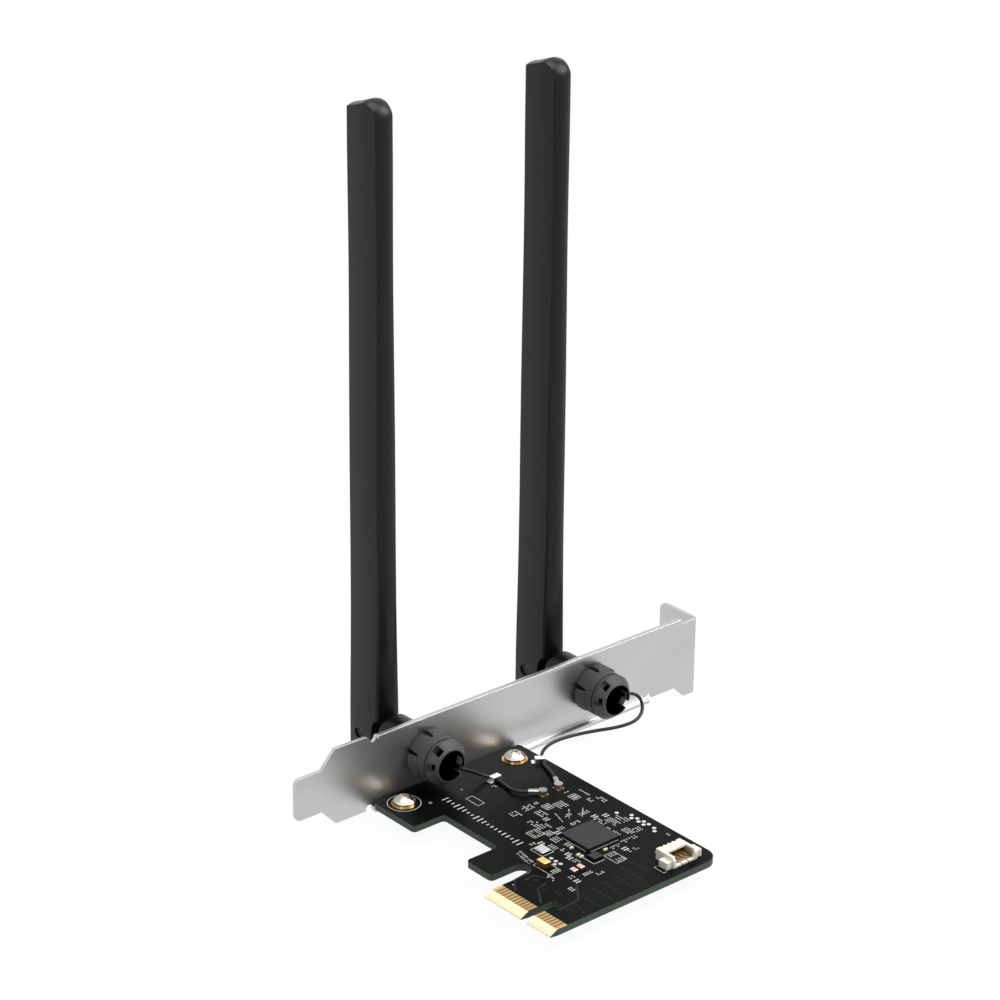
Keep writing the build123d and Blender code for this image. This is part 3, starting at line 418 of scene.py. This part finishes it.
FINISHES = {
    "board": board_finish(),
    "bracket": bracket_finish(),
    "antenna": black_plastic("satin_antenna_plastic", tone(8, 8, 9), tone(16, 16, 17), (0.24, 0.36), 0.22),
    "collar": black_plastic("satin_collar_nylon", tone(58, 58, 59), tone(78, 78, 79), (0.4, 0.56), 0.25),
    "pin": plain_finish(
        "pin_nylon", tone(14, 14, 15), tone(24, 24, 25), 0.2, (0.4, 0.55), 0.006, Specular_IOR_Level=0.25),
    "gold": plain_finish(
        "gold_plating", tone(196, 160, 102), tone(222, 192, 138), 0.15, (0.28, 0.42), Metallic=0.85),
    "pad": plain_finish(
        "bronze_pad", tone(168, 132, 62), tone(196, 160, 88), 0.4, (0.14, 0.28), Metallic=1.0),
    "contact": plain_finish(
        "header_contact", tone(140, 104, 58), tone(178, 140, 86), 0.15, (0.3, 0.45), Metallic=0.8),
    "screw": plain_finish(
        "bright_plating", tone(206, 200, 192), tone(236, 231, 224), 0.3, (0.16, 0.28), Metallic=1.0),
    "ring": plain_finish(
        "spring_steel", tone(120, 120, 120), tone(160, 160, 160), 0.2, (0.3, 0.45), Metallic=0.9),
    "brass": plain_finish(
        "radiator_brass", tone(196, 160, 92), tone(220, 186, 118), 0.3, (0.3, 0.42), Metallic=0.9),
    "plug": plain_finish(
        "tinned_plug", tone(190, 188, 182), tone(232, 231, 226), 0.25, (0.14, 0.32), 0.02, Metallic=0.95),
    "clip": plain_finish(
        "tinned_strip", tone(200, 205, 210), tone(228, 232, 236), 0.3, (0.2, 0.36), 0.006, Metallic=0.7),
    "chip": chip_finish(),
    "crystal": crystal_finish(),
    # For the tantalum and bulk parts the first tone is painted shade for the side faces: brown for the
    # tantalum, dark brown for the bulk part.
    "tantalum": capped_finish(
        "tantalum_resin", tone(96, 62, 26), tone(236, 204, 112), tone(232, 222, 190),
        TANTALUM_PLACES, TANTALUM_HALF_LENGTH, TANTALUM_CAP),
    "bulk": capped_finish(
        "bulk_ceramic", tone(92, 70, 58), tone(228, 176, 146), tone(236, 229, 218),
        BULK_PLACES, BULK_HALF_LENGTH, BULK_CAP),
    "small": plain_finish("small_ceramic", tone(206, 190, 158), tone(236, 226, 204), 0.1, (0.35, 0.5)),
    "header": header_finish(),
    "lead": lead_finish(),
    "print": plain_finish(
        "white_print", tone(186, 186, 182), tone(216, 216, 212), 0.2, (0.55, 0.7), Specular_IOR_Level=0.1),
    "tin": plain_finish(
        "tinned_pad", tone(206, 205, 200), tone(232, 231, 227), 0.2, (0.26, 0.42), Metallic=0.5),
    "trace": plain_finish(
        "mask_over_copper", tone(24, 25, 25), tone(38, 39, 39), 0.4, (0.24, 0.4), Specular_IOR_Level=0.1),
    "via": plain_finish(
        "tented_via", tone(2, 2, 3), tone(7, 7, 8), 0.3, (0.3, 0.45), Specular_IOR_Level=0.05),
}


def place(mesh, name, body, finish, slot, *replaced):
    """Puts a finished mesh on a body, with its finish and the solids that it stands for."""
    made = bpy.data.objects.new(name, mesh)
    bpy.context.scene.collection.objects.link(made)
    mesh.materials.clear()
    mesh.materials.append(FINISHES[finish])
    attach(made, body)
    if replaced:
        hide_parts(*replaced)


def evaluated(obj, name):
    """The mesh that an object shows once its modifiers are worked out."""
    graph = bpy.context.evaluated_depsgraph_get()
    graph.update()
    mesh = bpy.data.meshes.new_from_object(obj.evaluated_get(graph))
    mesh.name = name
    return mesh


def top_span(fall, inset):
    """Near and far bounds of an antenna's top at a depth below its crest: bend, slope and corner."""
    bend = TOP_NEAR_R - inset
    near = inset
    if fall < TOP_NEAR_R:
        near = TOP_NEAR_R - math.sqrt(max(0.0, bend ** 2 - (TOP_NEAR_R - fall) ** 2))
    far_start = BLADE_WIDTH - TOP_FAR_R
    corner = inset + (far_start - TOP_NEAR_R) * TOP_SLOPE
    bend = TOP_FAR_R - inset
    if fall < corner:
        far = TOP_NEAR_R + max(0.0, fall - inset) / TOP_SLOPE
    else:
        past = min(bend, fall - corner)
        far = far_start + math.sqrt(max(0.0, bend ** 2 - (bend - past) ** 2))
    return near, max(near, far)


def crown_top(bm):
    """Gives an antenna a top crowned from side to side, in level rings on the solid's own section."""
    top = max(v.co.z for v in bm.verts) - TOP_DROP * MM
    floor = top - TOP_REACH * MM
    geom = [*bm.verts, *bm.edges, *bm.faces]
    cut = bmesh.ops.bisect_plane(
        bm, geom=geom, dist=CUT_WELD * MM, plane_co=(0, 0, floor), plane_no=(0, 0, 1), clear_outer=True)
    edges = [g for g in cut["geom_cut"] if isinstance(g, bmesh.types.BMEdge)]
    ring = [edges[0].verts[0]]
    before = None
    while len(ring) < len(edges):
        edge = next(e for e in ring[-1].link_edges if e in edges and e is not before)
        before = edge
        ring.append(edge.other_vert(ring[-1]))
    xs, ys = [v.co.x for v in ring], [v.co.y for v in ring]
    near = min(ys)
    axis, half = (min(xs) + max(xs)) / 2, (max(xs) - min(xs)) / 2
    last = ring
    for i in range(TOP_RINGS - 1, 0, -1):
        fall = TOP_REACH * (i / TOP_RINGS) ** 2
        widest = min(1.0, math.sqrt(fall / TOP_CROWN))
        made = []
        for x, y in zip(xs, ys):
            across = max(-widest, min(widest, (x - axis) / half))
            low, high = top_span(fall, TOP_CROWN * across ** 2)
            at_y = max(near + low * MM, min(near + high * MM, y))
            made.append(bm.verts.new((axis + across * half, at_y, top - fall * MM)))
        for k in range(len(ring)):
            bm.faces.new((last[k - 1], last[k], made[k], made[k - 1]))
        last = made
    bm.faces.new(last)
    above = [v for v in bm.verts if v.co.z > floor + CUT_WELD * MM]
    bmesh.ops.remove_doubles(bm, verts=above, dist=TOP_MERGE * MM)
    bmesh.ops.recalc_face_normals(bm, faces=bm.faces)


def soft_edges(node, edge_mm, shape=None):
    """A copy of a solid with its sharp edges broken, so that they catch the light."""
    mesh = nodes[node].data.copy()
    bm = bmesh.new()
    bm.from_mesh(mesh)
    bmesh.ops.remove_doubles(bm, verts=bm.verts, dist=WELD * MM)
    if shape:
        shape(bm)
    bmesh.ops.dissolve_limit(bm, angle_limit=math.radians(FLAT_ANGLE), verts=bm.verts, edges=bm.edges)
    bm.to_mesh(mesh)
    bm.free()
    work = bpy.data.objects.new(node + "_work", mesh)
    bpy.context.scene.collection.objects.link(work)
    bevel = work.modifiers.new("edges", "BEVEL")
    bevel.width = edge_mm * MM
    bevel.segments = EDGE_SEGMENTS
    bevel.limit_method = "ANGLE"
    bevel.angle_limit = math.radians(EDGE_ANGLE)
    bevel.use_clamp_overlap = True
    even = work.modifiers.new("even", "WEIGHTED_NORMAL")
    even.keep_sharp = True
    mesh.shade_smooth()
    mesh.set_sharp_from_angle(angle=math.radians(SMOOTH_ANGLE))
    result = evaluated(work, node + "_dressed")
    bpy.data.objects.remove(work)
    return result


def dress(node, finish, edge_mm, shape=None):
    """A solid's dressed copy in its place, on the same body."""
    body = nodes[node]["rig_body"]
    slot = next(s["material_slot"] for s in frame["record"]["subparts"] if s["node"] == node)
    place(soft_edges(node, edge_mm, shape), node + "_piece", body, finish, slot, node)


def paint(node, finish):
    """A finish on a solid that stays as it is."""
    mesh = nodes[node].data
    mesh.materials.clear()
    mesh.materials.append(FINISHES[finish])


for node, finish, edge in (
    ("circuit_board", "board", 0.06), ("bracket", "bracket", 0.1), ("board_screws", "screw", 0.07),
    ("main_chip", "chip", 0.05), ("regulator_chip", "chip", 0.04), ("crystal", "crystal", 0.06),
    ("tantalum_capacitor", "tantalum", 0.06), ("bulk_capacitors", "bulk", 0.05),
    ("small_capacitors", "small", 0.05), ("header_housing", "header", 0.06),
):
    dress(node, finish, edge)
for node, finish in (("edge_contacts", "gold"), ("screw_pads", "pad"), ("header_pins", "contact")):
    paint(node, finish)
for side in SIDES:
    dress(f"lock_collar_{side}", "collar", 0.12)
    dress(f"swivel_base_{side}", "antenna", 0.15)
    dress(f"antenna_blade_{side}", "antenna", 0.15, shape=crown_top)
    dress(f"hinge_pin_{side}", "pin", 0.12)
    dress(f"coax_plug_{side}", "plug", 0.1)
    dress(f"lead_clip_{side}", "clip", 0.06)
    for node, finish in (("coax_jack", "gold"), ("retaining_ring", "ring"), ("radiator", "brass")):
        paint(f"{node}_{side}", finish)

# Coaxial leads: the routes of the solids, from inside each stem to the plug
LEAD_ROUTES = (
    (
        (21.38, 62.4, 8.01), (21.46, 59.3, 8.06), (21.34, 56.2, 7.98), (21.4, 53.7, 8.01),
        (22.3, 51.9, 7.45), (24.5, 50.6, 6.0), (27.3, 50.2, 4.4), (30.0, 50.15, 2.75),
        (32.1, 49.6, 1.55), (33.15, 48.0, 1.24), (33.1, 45.9, 1.21), (32.75, 43.5, 1.21),
        (32.4, 41.3, 1.4),
    ),
    (
        (71.0, 62.4, 8.01), (71.08, 59.3, 8.06), (70.95, 56.2, 7.98), (71.0, 53.8, 8.01),
        (72.1, 51.75, 7.95), (74.2, 51.0, 7.78), (76.5, 50.75, 7.5), (78.4, 50.1, 6.5),
        (78.9, 49.2, 4.8), (77.9, 48.0, 3.2), (75.7, 47.4, 2.1), (72.9, 47.8, 1.6),
        (69.6, 48.9, 1.38), (65.8, 50.6, 1.3), (61.6, 52.0, 1.26), (57.4, 52.8, 1.24),
        (53.9, 52.7, 1.24), (50.9, 51.7, 1.23), (48.5, 50.0, 1.22), (46.85, 47.8, 1.22),
        (45.6, 45.2, 1.24), (44.8, 42.9, 1.5),
    ),
)
PLUG_REACH = (4.6, 3.2)
PLUG_LINE_Z = BOARD_TOP + 0.875
LEAD_LENGTHS = (34.4, 64.6)


def lead(side, route, jack, angle, length):
    """A thin black lead on one smooth line, which ends in its plug."""
    turn = math.radians(angle)
    ends = [
        (jack[0] + r * math.cos(turn), jack[1] + r * math.sin(turn), PLUG_LINE_Z) for r in PLUG_REACH]
    points = [*route, *ends]
    curve = bpy.data.curves.new(f"lead_line_{side}", "CURVE")
    curve.dimensions = "3D"
    line = curve.splines.new("NURBS")
    line.points.add(len(points) - 1)
    for point, at in zip(line.points, points):
        point.co = (*(v * MM for v in at), 1.0)
    line.order_u = 3
    line.use_endpoint_u = True
    line.resolution_u = 8
    curve.bevel_depth = LEAD_D / 2 * MM
    curve.bevel_resolution = 4
    curve.use_fill_caps = True
    made = bpy.data.objects.new(f"lead_{side}", curve)
    bpy.context.scene.collection.objects.link(made)
    curve.materials.append(FINISHES["lead"])
    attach(made, "card")
    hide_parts(f"coax_lead_{side}")
    [v * MM for v in points[0]]
    length * MM


for side, route, jack, angle, length in zip(SIDES, LEAD_ROUTES, JACKS, PLUG_ANGLES, LEAD_LENGTHS):
    lead(side, route, jack, angle, length)


class Maker(Graph):
    """A tree that makes one plain mesh with a finish from given points or lines, with named sizes."""

    def __init__(self, name, **sizes):
        super().__init__(bpy.data.node_groups.new(name, "GeometryNodeTree"))
        sockets = {"Mesh": "NodeSocketGeometry", **sizes, "Finish": "NodeSocketMaterial"}
        for label, kind in sockets.items():
            self.tree.interface.new_socket(label, in_out="INPUT", socket_type=kind)
        self.tree.interface.new_socket("Mesh", in_out="OUTPUT", socket_type="NodeSocketGeometry")
        self.start = self.tree.nodes.new("NodeGroupInput")

    def given(self, label):
        return Amount(self, self.start.outputs[label])

    def end(self, shape):
        whole = self.node("GeometryNodeRealizeInstances", inputs=[shape])
        inputs = {"Geometry": whole, "Material": self.given("Finish")}
        painted = self.node("GeometryNodeSetMaterial", inputs=inputs)
        self.node("NodeGroupOutput", inputs=[painted])

    def run(self, mesh, name, finish, **sizes):
        """The finished piece that the tree makes from a mesh; it rides on the card."""
        work = bpy.data.objects.new(name + "_work", mesh)
        bpy.context.scene.collection.objects.link(work)
        modifier = work.modifiers.new(name, "NODES")
        modifier.node_group = self.tree
        values = {**sizes, "Finish": FINISHES[finish]}
        for item in self.tree.interface.items_tree:
            if item.in_out == "INPUT" and item.name in values:
                modifier[item.identifier] = values[item.name]
        result = evaluated(work, name)
        bpy.data.objects.remove(work)
        place(result, name, "card", finish, "board")


def plate_maker():
    """One flat plate at each point, with the point's own length, width and turn."""
    m = Maker("flat_plates", Thickness="NodeSocketFloat", Corners="NodeSocketInt", Reach="NodeSocketFloat")
    plate = m.node("GeometryNodeMeshCylinder", inputs={
        "Vertices": m.given("Corners"), "Radius": m.given("Reach"), "Depth": m.given("Thickness")})
    plate = m.node("GeometryNodeTransform", inputs={"Geometry": plate, "Rotation": (0, 0, math.pi / 4)})
    span = m.node("GeometryNodeInputNamedAttribute", {"data_type": "FLOAT_VECTOR"}, {"Name": "span"})
    turn = m.node("GeometryNodeInputNamedAttribute", {"data_type": "FLOAT"}, {"Name": "turn"})
    turn = m.node("ShaderNodeCombineXYZ", inputs={"Z": turn})
    m.end(m.node("GeometryNodeInstanceOnPoints", inputs={
        "Points": m.given("Mesh"), "Instance": plate, "Rotation": turn, "Scale": span}))
    return m


def line_maker():
    """A flat band along each line, with rounded corners."""
    m = Maker("flat_bands", Width="NodeSocketFloat", Thickness="NodeSocketFloat", Bend="NodeSocketFloat")
    line = m.node("GeometryNodeMeshToCurve", inputs={"Mesh": m.given("Mesh")})
    line = m.node("GeometryNodeFilletCurve", inputs={
        "Curve": line, "Radius": m.given("Bend"), "Limit Radius": True})
    line = m.node("GeometryNodeSetCurveNormal", {"mode": "Z_UP"}, {"Curve": line})
    section = m.node("GeometryNodeCurvePrimitiveQuadrilateral", inputs={
        "Width": m.given("Width"), "Height": m.given("Thickness")})
    m.end(m.node("GeometryNodeCurveToMesh", inputs={
        "Curve": line, "Profile Curve": section, "Fill Caps": True}))
    return m


def points_mesh(name, marks):
    """Points on the board that carry the length, width and turn of their plates, all in millimetres."""
    mesh = bpy.data.meshes.new(name + "_points")
    mesh.from_pydata([(x * MM, y * MM, BOARD_TOP * MM) for x, y, *_ in marks], [], [])
    span = mesh.attributes.new("span", "FLOAT_VECTOR", "POINT")
    spans = [v for _, _, length, width, _ in marks for v in (length * MM, width * MM, 1)]
    span.data.foreach_set("vector", spans)
    turn = mesh.attributes.new("turn", "FLOAT", "POINT")
    turn.data.foreach_set("value", [math.radians(angle) for *_, angle in marks])
    return mesh


def lines_mesh(name, lines):
    """Lines on the board; a line whose last point is its first is closed."""
    places, edges = [], []
    for line in lines:
        closed = line[0] == line[-1]
        points = line[:-1] if closed else line
        first = len(places)
        places += [(x * MM, y * MM, BOARD_TOP * MM) for x, y in points]
        edges += [(first + i, first + i + 1) for i in range(len(points) - 1)]
        if closed:
            edges.append((len(places) - 1, first))
    mesh = bpy.data.meshes.new(name + "_lines")
    mesh.from_pydata(places, edges, [])
    return mesh


KEPT_CLEAR = [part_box(node) for node in (
    "main_chip", "regulator_chip", "crystal", "tantalum_capacitor", "bulk_capacitors", "small_capacitors",
    "header_housing", "header_pins", "coax_jack_left", "coax_jack_right", "screw_pads", "lead_clip_left",
    "lead_clip_right",
)]
CLEAR_MARGIN = 0.2


def is_clear(x, y, reach):
    """True where a mark of a given reach misses the parts on the board."""
    room = (CLEAR_MARGIN + reach) * MM
    return not any(
        lo.x - room < x * MM < hi.x + room and lo.y - room < y * MM < hi.y + room for lo, hi in KEPT_CLEAR)


def box_line(x, y, wide, deep):
    """The outline of a box on the board."""
    a, b = wide / 2, deep / 2
    return [(x - a, y - b), (x + a, y - b), (x + a, y + b), (x - a, y + b), (x - a, y - b)]


def ring_line(x, y, radius, count=40):
    """A round outline on the board."""
    turns = [2 * math.pi * i / count for i in range(count)]
    points = [(x + radius * math.cos(t), y + radius * math.sin(t)) for t in turns]
    return points + points[:1]


def tick_row(start, end, count, length, width, draw):
    """A row of plain ticks across a line, with uneven lengths."""
    turn = math.degrees(math.atan2(end[1] - start[1], end[0] - start[0])) + 90
    marks = []
    for i in range(count):
        share = (i + 0.5) / count
        x = start[0] + (end[0] - start[0]) * share
        y = start[1] + (end[1] - start[1]) * share
        marks.append((x, y, length * draw.choice((0.45, 0.7, 1.0, 1.0)), width, turn))
    return marks


def dash_patch(x, y, wide, deep, draw):
    """A patch of short dashes in tidy rows, with gaps."""
    marks = []
    rows = max(1, round(wide / 0.72))
    columns = max(1, round(deep / 0.62))
    for i in range(rows):
        for k in range(columns):
            if draw.random() < 0.18:
                continue
            length, across = draw.choice(((0.55, 0.2), (0.42, 0.3), (0.5, 0.22), (0.2, 0.42)))
            at_x = x + wide * ((i + 0.5) / rows - 0.5)
            at_y = y + deep * ((k + 0.5) / columns - 0.5)
            marks.append((at_x, at_y, length, across, 0.0))
    return marks


DASH_PATCHES = (
    (30.6, 34.1, 3.0, 2.2), (26.6, 33.2, 2.4, 3.4), (27.2, 27.2, 2.2, 4.6), (31.2, 30.2, 2.2, 3.0),
    (24.4, 24.4, 2.4, 2.4), (26.8, 22.6, 2.2, 2.2), (26.2, 19.6, 2.4, 2.2), (23.6, 17.6, 1.4, 2.6),
    (44.9, 31.3, 0.9, 3.6), (43.6, 27.6, 1.2, 2.4), (45.8, 26.6, 1.5, 3.0), (37.1, 30.4, 2.8, 3.0),
    (43.4, 17.4, 2.2, 3.8), (40.9, 17.6, 2.2, 3.6), (38.9, 19.4, 1.6, 3.4), (42.8, 11.0, 2.2, 3.2),
    (40.7, 12.4, 2.0, 3.0), (38.4, 9.6, 4.6, 1.4), (36.2, 5.9, 3.0, 1.4), (31.2, 4.6, 2.4, 1.4),
    (31.2, 7.0, 2.2, 1.2), (34.2, 9.2, 2.8, 1.4), (39.6, 2.0, 3.0, 0.6), (46.4, 6.4, 0.9, 2.6),
    (23.4, 9.6, 1.6, 2.4), (24.4, 15.0, 1.4, 1.6), (17.2, 9.6, 2.0, 1.6), (14.6, 8.2, 1.3, 2.8),
    (18.2, 5.6, 1.8, 1.4), (21.9, 4.6, 2.6, 1.2), (24.0, 3.0, 2.2, 1.0), (14.9, 1.9, 1.2, 1.8),
    (30.0, 55.6, 2.6, 0.6), (28.7, 52.6, 0.7, 4.6), (26.7, 53.0, 0.7, 4.2), (24.7, 50.6, 0.7, 2.6),
    (31.2, 46.4, 1.2, 1.8), (45.6, 50.6, 1.2, 0.7), (33.4, 34.4, 1.2, 1.0), (41.9, 33.9, 1.6, 0.8),
    (38.6, 24.4, 3.0, 1.4), (34.2, 22.4, 2.6, 1.2), (30.2, 22.6, 2.0, 1.4), (28.9, 25.2, 1.0, 2.4),
    (21.0, 21.4, 1.8, 1.0), (6.6, 11.1, 0.7, 0.8), (38.3, 14.4, 1.0, 4.6), (35.2, 26.0, 2.0, 1.0),
)
ROUND_PADS = (
    (44.2, 19.88), (46.04, 17.05), (45.13, 16.08), (45.99, 15.14), (45.25, 13.98), (46.16, 13.24),
    (45.16, 12.29), (46.17, 11.69), (45.94, 9.72), (45.08, 8.68), (20.09, 14.25), (20.04, 12.71),
    (18.96, 11.91), (20.09, 11.2),
)
SQUARE_PADS = (
    (34.3, 31.6), (41.8, 31.2), (24.0, 13.2), (26.8, 16.4), (23.2, 11.9), (28.4, 21.6), (22.6, 20.4),
    (18.0, 3.6), (30.4, 27.6), (39.4, 21.8), (41.6, 20.6), (35.0, 7.2),
)
TENTED_VIAS = (
    (11.3, 9.4), (9.3, 8.5), (10.2, 5.4), (11.6, 3.2), (11.5, 1.65), (11.4, -1.4), (11.35, -3.2),
    (11.4, -4.8), (10.85, -6.55), (14.9, -3.0), (14.9, -4.55), (14.6, -6.4), (15.1, -1.1), (18.6, -1.1),
    (18.5, -2.8), (18.5, -4.4), (18.6, -6.0), (22.0, -0.65), (21.9, -2.4), (22.0, -4.15), (8.2, -1.6),
    (8.9, -3.5), (9.4, -4.65), (29.0, -2.0), (25.5, -2.3), (21.8, -5.9), (25.4, -0.6), (25.5, -4.0),
    (25.4, -5.8), (29.0, -0.3), (29.0, -3.8), (32.4, 1.6), (32.4, -0.2), (32.4, -1.9), (29.0, 1.4),
    (14.7, 15.4), (17.6, 24.0),
)
COPPER_LINES = (
    ((6.2, 1.8), (8.9, 5.6), (8.9, 6.4), (12.4, 7.25)), ((7.2, -2.6), (13.2, -2.2), (16.8, 2.6)),
    ((9.6, 11.0), (12.6, 11.2), (13.6, 9.2)), ((5.6, 9.2), (8.0, 12.4), (12.8, 13.0)),
)


def dress_board():
    """White print, pads, covered holes and tracks on the board's upper face."""
    draw = random.Random(11)
    plates, bands = plate_maker(), line_maker()
    square = {"Corners": 4, "Reach": math.sqrt(0.5), "Thickness": 2 * PRINT_T * MM}
    circle = {"Corners": 14, "Reach": 0.5, "Thickness": 2 * PRINT_T * MM}
    white = tick_row((19.2, 56.0), (19.0, 22.6), 25, 1.9, 0.3, draw)
    white += tick_row((16.9, 20.9), (15.9, 15.4), 9, 0.7, 0.2, draw)
    white += tick_row((15.9, 20.6), (14.9, 15.2), 8, 0.6, 0.2, draw)
    white += tick_row((33.0, 55.6), (33.0, 54.4), 3, 0.5, 0.2, draw)
    for start, end in (
        ((37.3, 27.9), (34.4, 24.6)), ((40.1, 26.4), (37.2, 23.4)), ((33.6, 28.4), (32.4, 24.4)),
    ):
        white += tick_row(start, end, 7, 0.25, 0.35, draw)
    for patch in DASH_PATCHES:
        white += dash_patch(*patch, draw)
    white = [mark for mark in white if is_clear(mark[0], mark[1], MARK_REACH)]
    plates.run(points_mesh("print_dashes", white), "print_dashes", "print", **square)
    lines = [box_line(23.7, 43.8, 1.9, 4.2), box_line(34.3, 31.6, 2.0, 2.2), box_line(41.8, 31.2, 2.0, 2.2)]
    lines += [box_line(30.9, 5.8, 2.9, 4.2), box_line(24.4, 24.4, 2.9, 2.9), box_line(20.75, 17.95, 3.3, 3.9)]
    lines += [box_line(16.81, 11.9, 3.0, 5.6), ring_line(*SCREWS[0], 3.75), ring_line(15.5, 49.4, 0.32, 14)]
    lines.append([(25.5, 10.4), (25.5, 6.6), (28.6, 6.6)])
    lines.append([(35.2, -5.6), (34.4, -5.6), (34.4, -2.6), (35.2, -2.6)])
    bands.run(lines_mesh("print_lines", lines), "print_lines", "print",
              Width=PRINT_LINE * MM, Thickness=2 * PRINT_T * MM, Bend=PRINT_BEND * MM)
    pads = [(x, y, ROUND_PAD_D, ROUND_PAD_D, 0.0) for x, y in ROUND_PADS]
    plates.run(points_mesh("round_pads", pads), "round_pads", "tin", **circle)
    small = [
        (x + a, y + b, *SMALL_PAD, 0.0) for x, y in SQUARE_PADS for a in SMALL_PAD_XS for b in SMALL_PAD_YS]
    x, y, wide, deep = CHIP
    for i in range(CHIP_PADS):
        along = (i - (CHIP_PADS - 1) / 2) * CHIP_PITCH
        for way in (1, -1):
            small.append((x + along, y + way * (deep / 2 + CHIP_PAD_OUT), *CHIP_PAD, 0.0))
        for way in (1, -1):
            small.append((x + way * (wide / 2 + CHIP_PAD_OUT), y + along, *CHIP_PAD[::-1], 0.0))
    plates.run(points_mesh("square_pads", small), "square_pads", "tin", **square)
    rims = [(x, y, 2 * VIA_RIM_R, 2 * VIA_RIM_R, 0.0) for x, y in TENTED_VIAS]
    plates.run(points_mesh("hole_rims", rims), "hole_rims", "trace", **{**circle, "Thickness": PRINT_T * MM})
    vias = [(x, y, 2 * VIA_R, 2 * VIA_R, 0.0) for x, y in TENTED_VIAS]
    plates.run(points_mesh("covered_holes", vias), "covered_holes", "via", **circle)
    bands.run(lines_mesh("tracks", COPPER_LINES), "tracks", "trace",
              Width=TRACK_WIDTH * MM, Thickness=PRINT_T * MM, Bend=TRACK_BEND * MM)


dress_board()


def ray_kinds(graph):
    """One for what the camera sees straight on, and one for what is mirrored or seen through."""
    paths = graph.tree.nodes.new("ShaderNodeLightPath")
    kinds = ("Is Camera Ray", "Is Glossy Ray", "Is Transmission Ray")
    direct, glossy, through = (Amount(graph, paths.outputs[kind]) for kind in kinds)
    return direct, glossy.maths("MAXIMUM", glossy, through) * (1 - direct)


def studio():
    """Pale floor, white surroundings and large soft lamps."""
    scene = bpy.context.scene
    scene.view_settings.view_transform = "Standard"
    lo, hi = cad_box
    middle = (lo + hi) / 2
    mesh = bpy.data.meshes.new("floor")
    corners = [(-1, -1, 0), (1, -1, 0), (1, 1, 0), (-1, 1, 0)]
    mesh.from_pydata([Vector(c) * FLOOR_REACH * MM for c in corners], [], [(0, 1, 2, 3)])
    mesh.transform(Matrix.Translation((middle.x, middle.y, lo.z - FLOOR_GAP * MM)))
    floor = bpy.data.objects.new("floor", mesh)
    scene.collection.objects.link(floor)
    f = Finish("pale_floor", Base_Color=tone(236, 236, 236), Roughness=0.9, Specular_IOR_Level=0.0)
    direct, mirrored = ray_kinds(f)
    white = f.tree.nodes.new("ShaderNodeEmission")
    white.inputs["Color"].default_value = (1, 1, 1, 1)
    blend = f.tree.nodes.new("ShaderNodeMixShader")
    f.tree.links.new((direct * FLOOR_WHITE + mirrored).socket, blend.inputs[0])
    f.tree.links.new(f.shader.outputs[0], blend.inputs[1])
    f.tree.links.new(white.outputs[0], blend.inputs[2])
    f.tree.links.new(blend.outputs[0], f.tree.nodes["Material Output"].inputs["Surface"])
    mesh.materials.append(f.material)

    world = bpy.data.worlds.new("white_surroundings")
    scene.world = world
    world.use_nodes = True
    tree = world.node_tree
    back = tree.nodes["Background"]
    back.inputs["Color"].default_value = (1, 1, 1, 1)
    sky = Graph(tree)
    direct, mirrored = ray_kinds(sky)
    strength = direct + mirrored + (1 - direct - mirrored) * SKY_LEVEL
    tree.links.new(strength.socket, back.inputs["Strength"])

    target = Vector(LAMP_TARGET) * MM
    for name, place_mm, width, height, watts in LAMPS:
        lamp = bpy.data.lights.new(name, "AREA")
        lamp.shape = "RECTANGLE"
        lamp.size = width * MM
        lamp.size_y = height * MM
        lamp.energy = watts
        made = bpy.data.objects.new(name, lamp)
        scene.collection.objects.link(made)
        made.location = Vector(place_mm) * MM
        made.rotation_euler = (target - made.location).to_track_quat("-Z", "Y").to_euler()


def camera():
    """The photograph's viewing angle, with a slight roll."""
    eye = Vector(CAMERA_EYE) * MM
    forward = Vector(CAMERA_FORWARD).normalized()
    right = Vector(CAMERA_RIGHT)
    right = (right - forward * right.dot(forward)).normalized()
    up = right.cross(forward)
    data = bpy.data.cameras.new("camera")
    data.sensor_width = CAMERA_SENSOR
    data.lens = CAMERA_LENS
    data.clip_start = CAMERA_CLIP
    made = bpy.data.objects.new("camera", data)
    bpy.context.scene.collection.objects.link(made)
    turn = Matrix((right, up, -forward)).transposed()
    made.matrix_world = Matrix.Translation(eye) @ turn.to_4x4()
    bpy.context.scene.camera = made


studio()
camera()
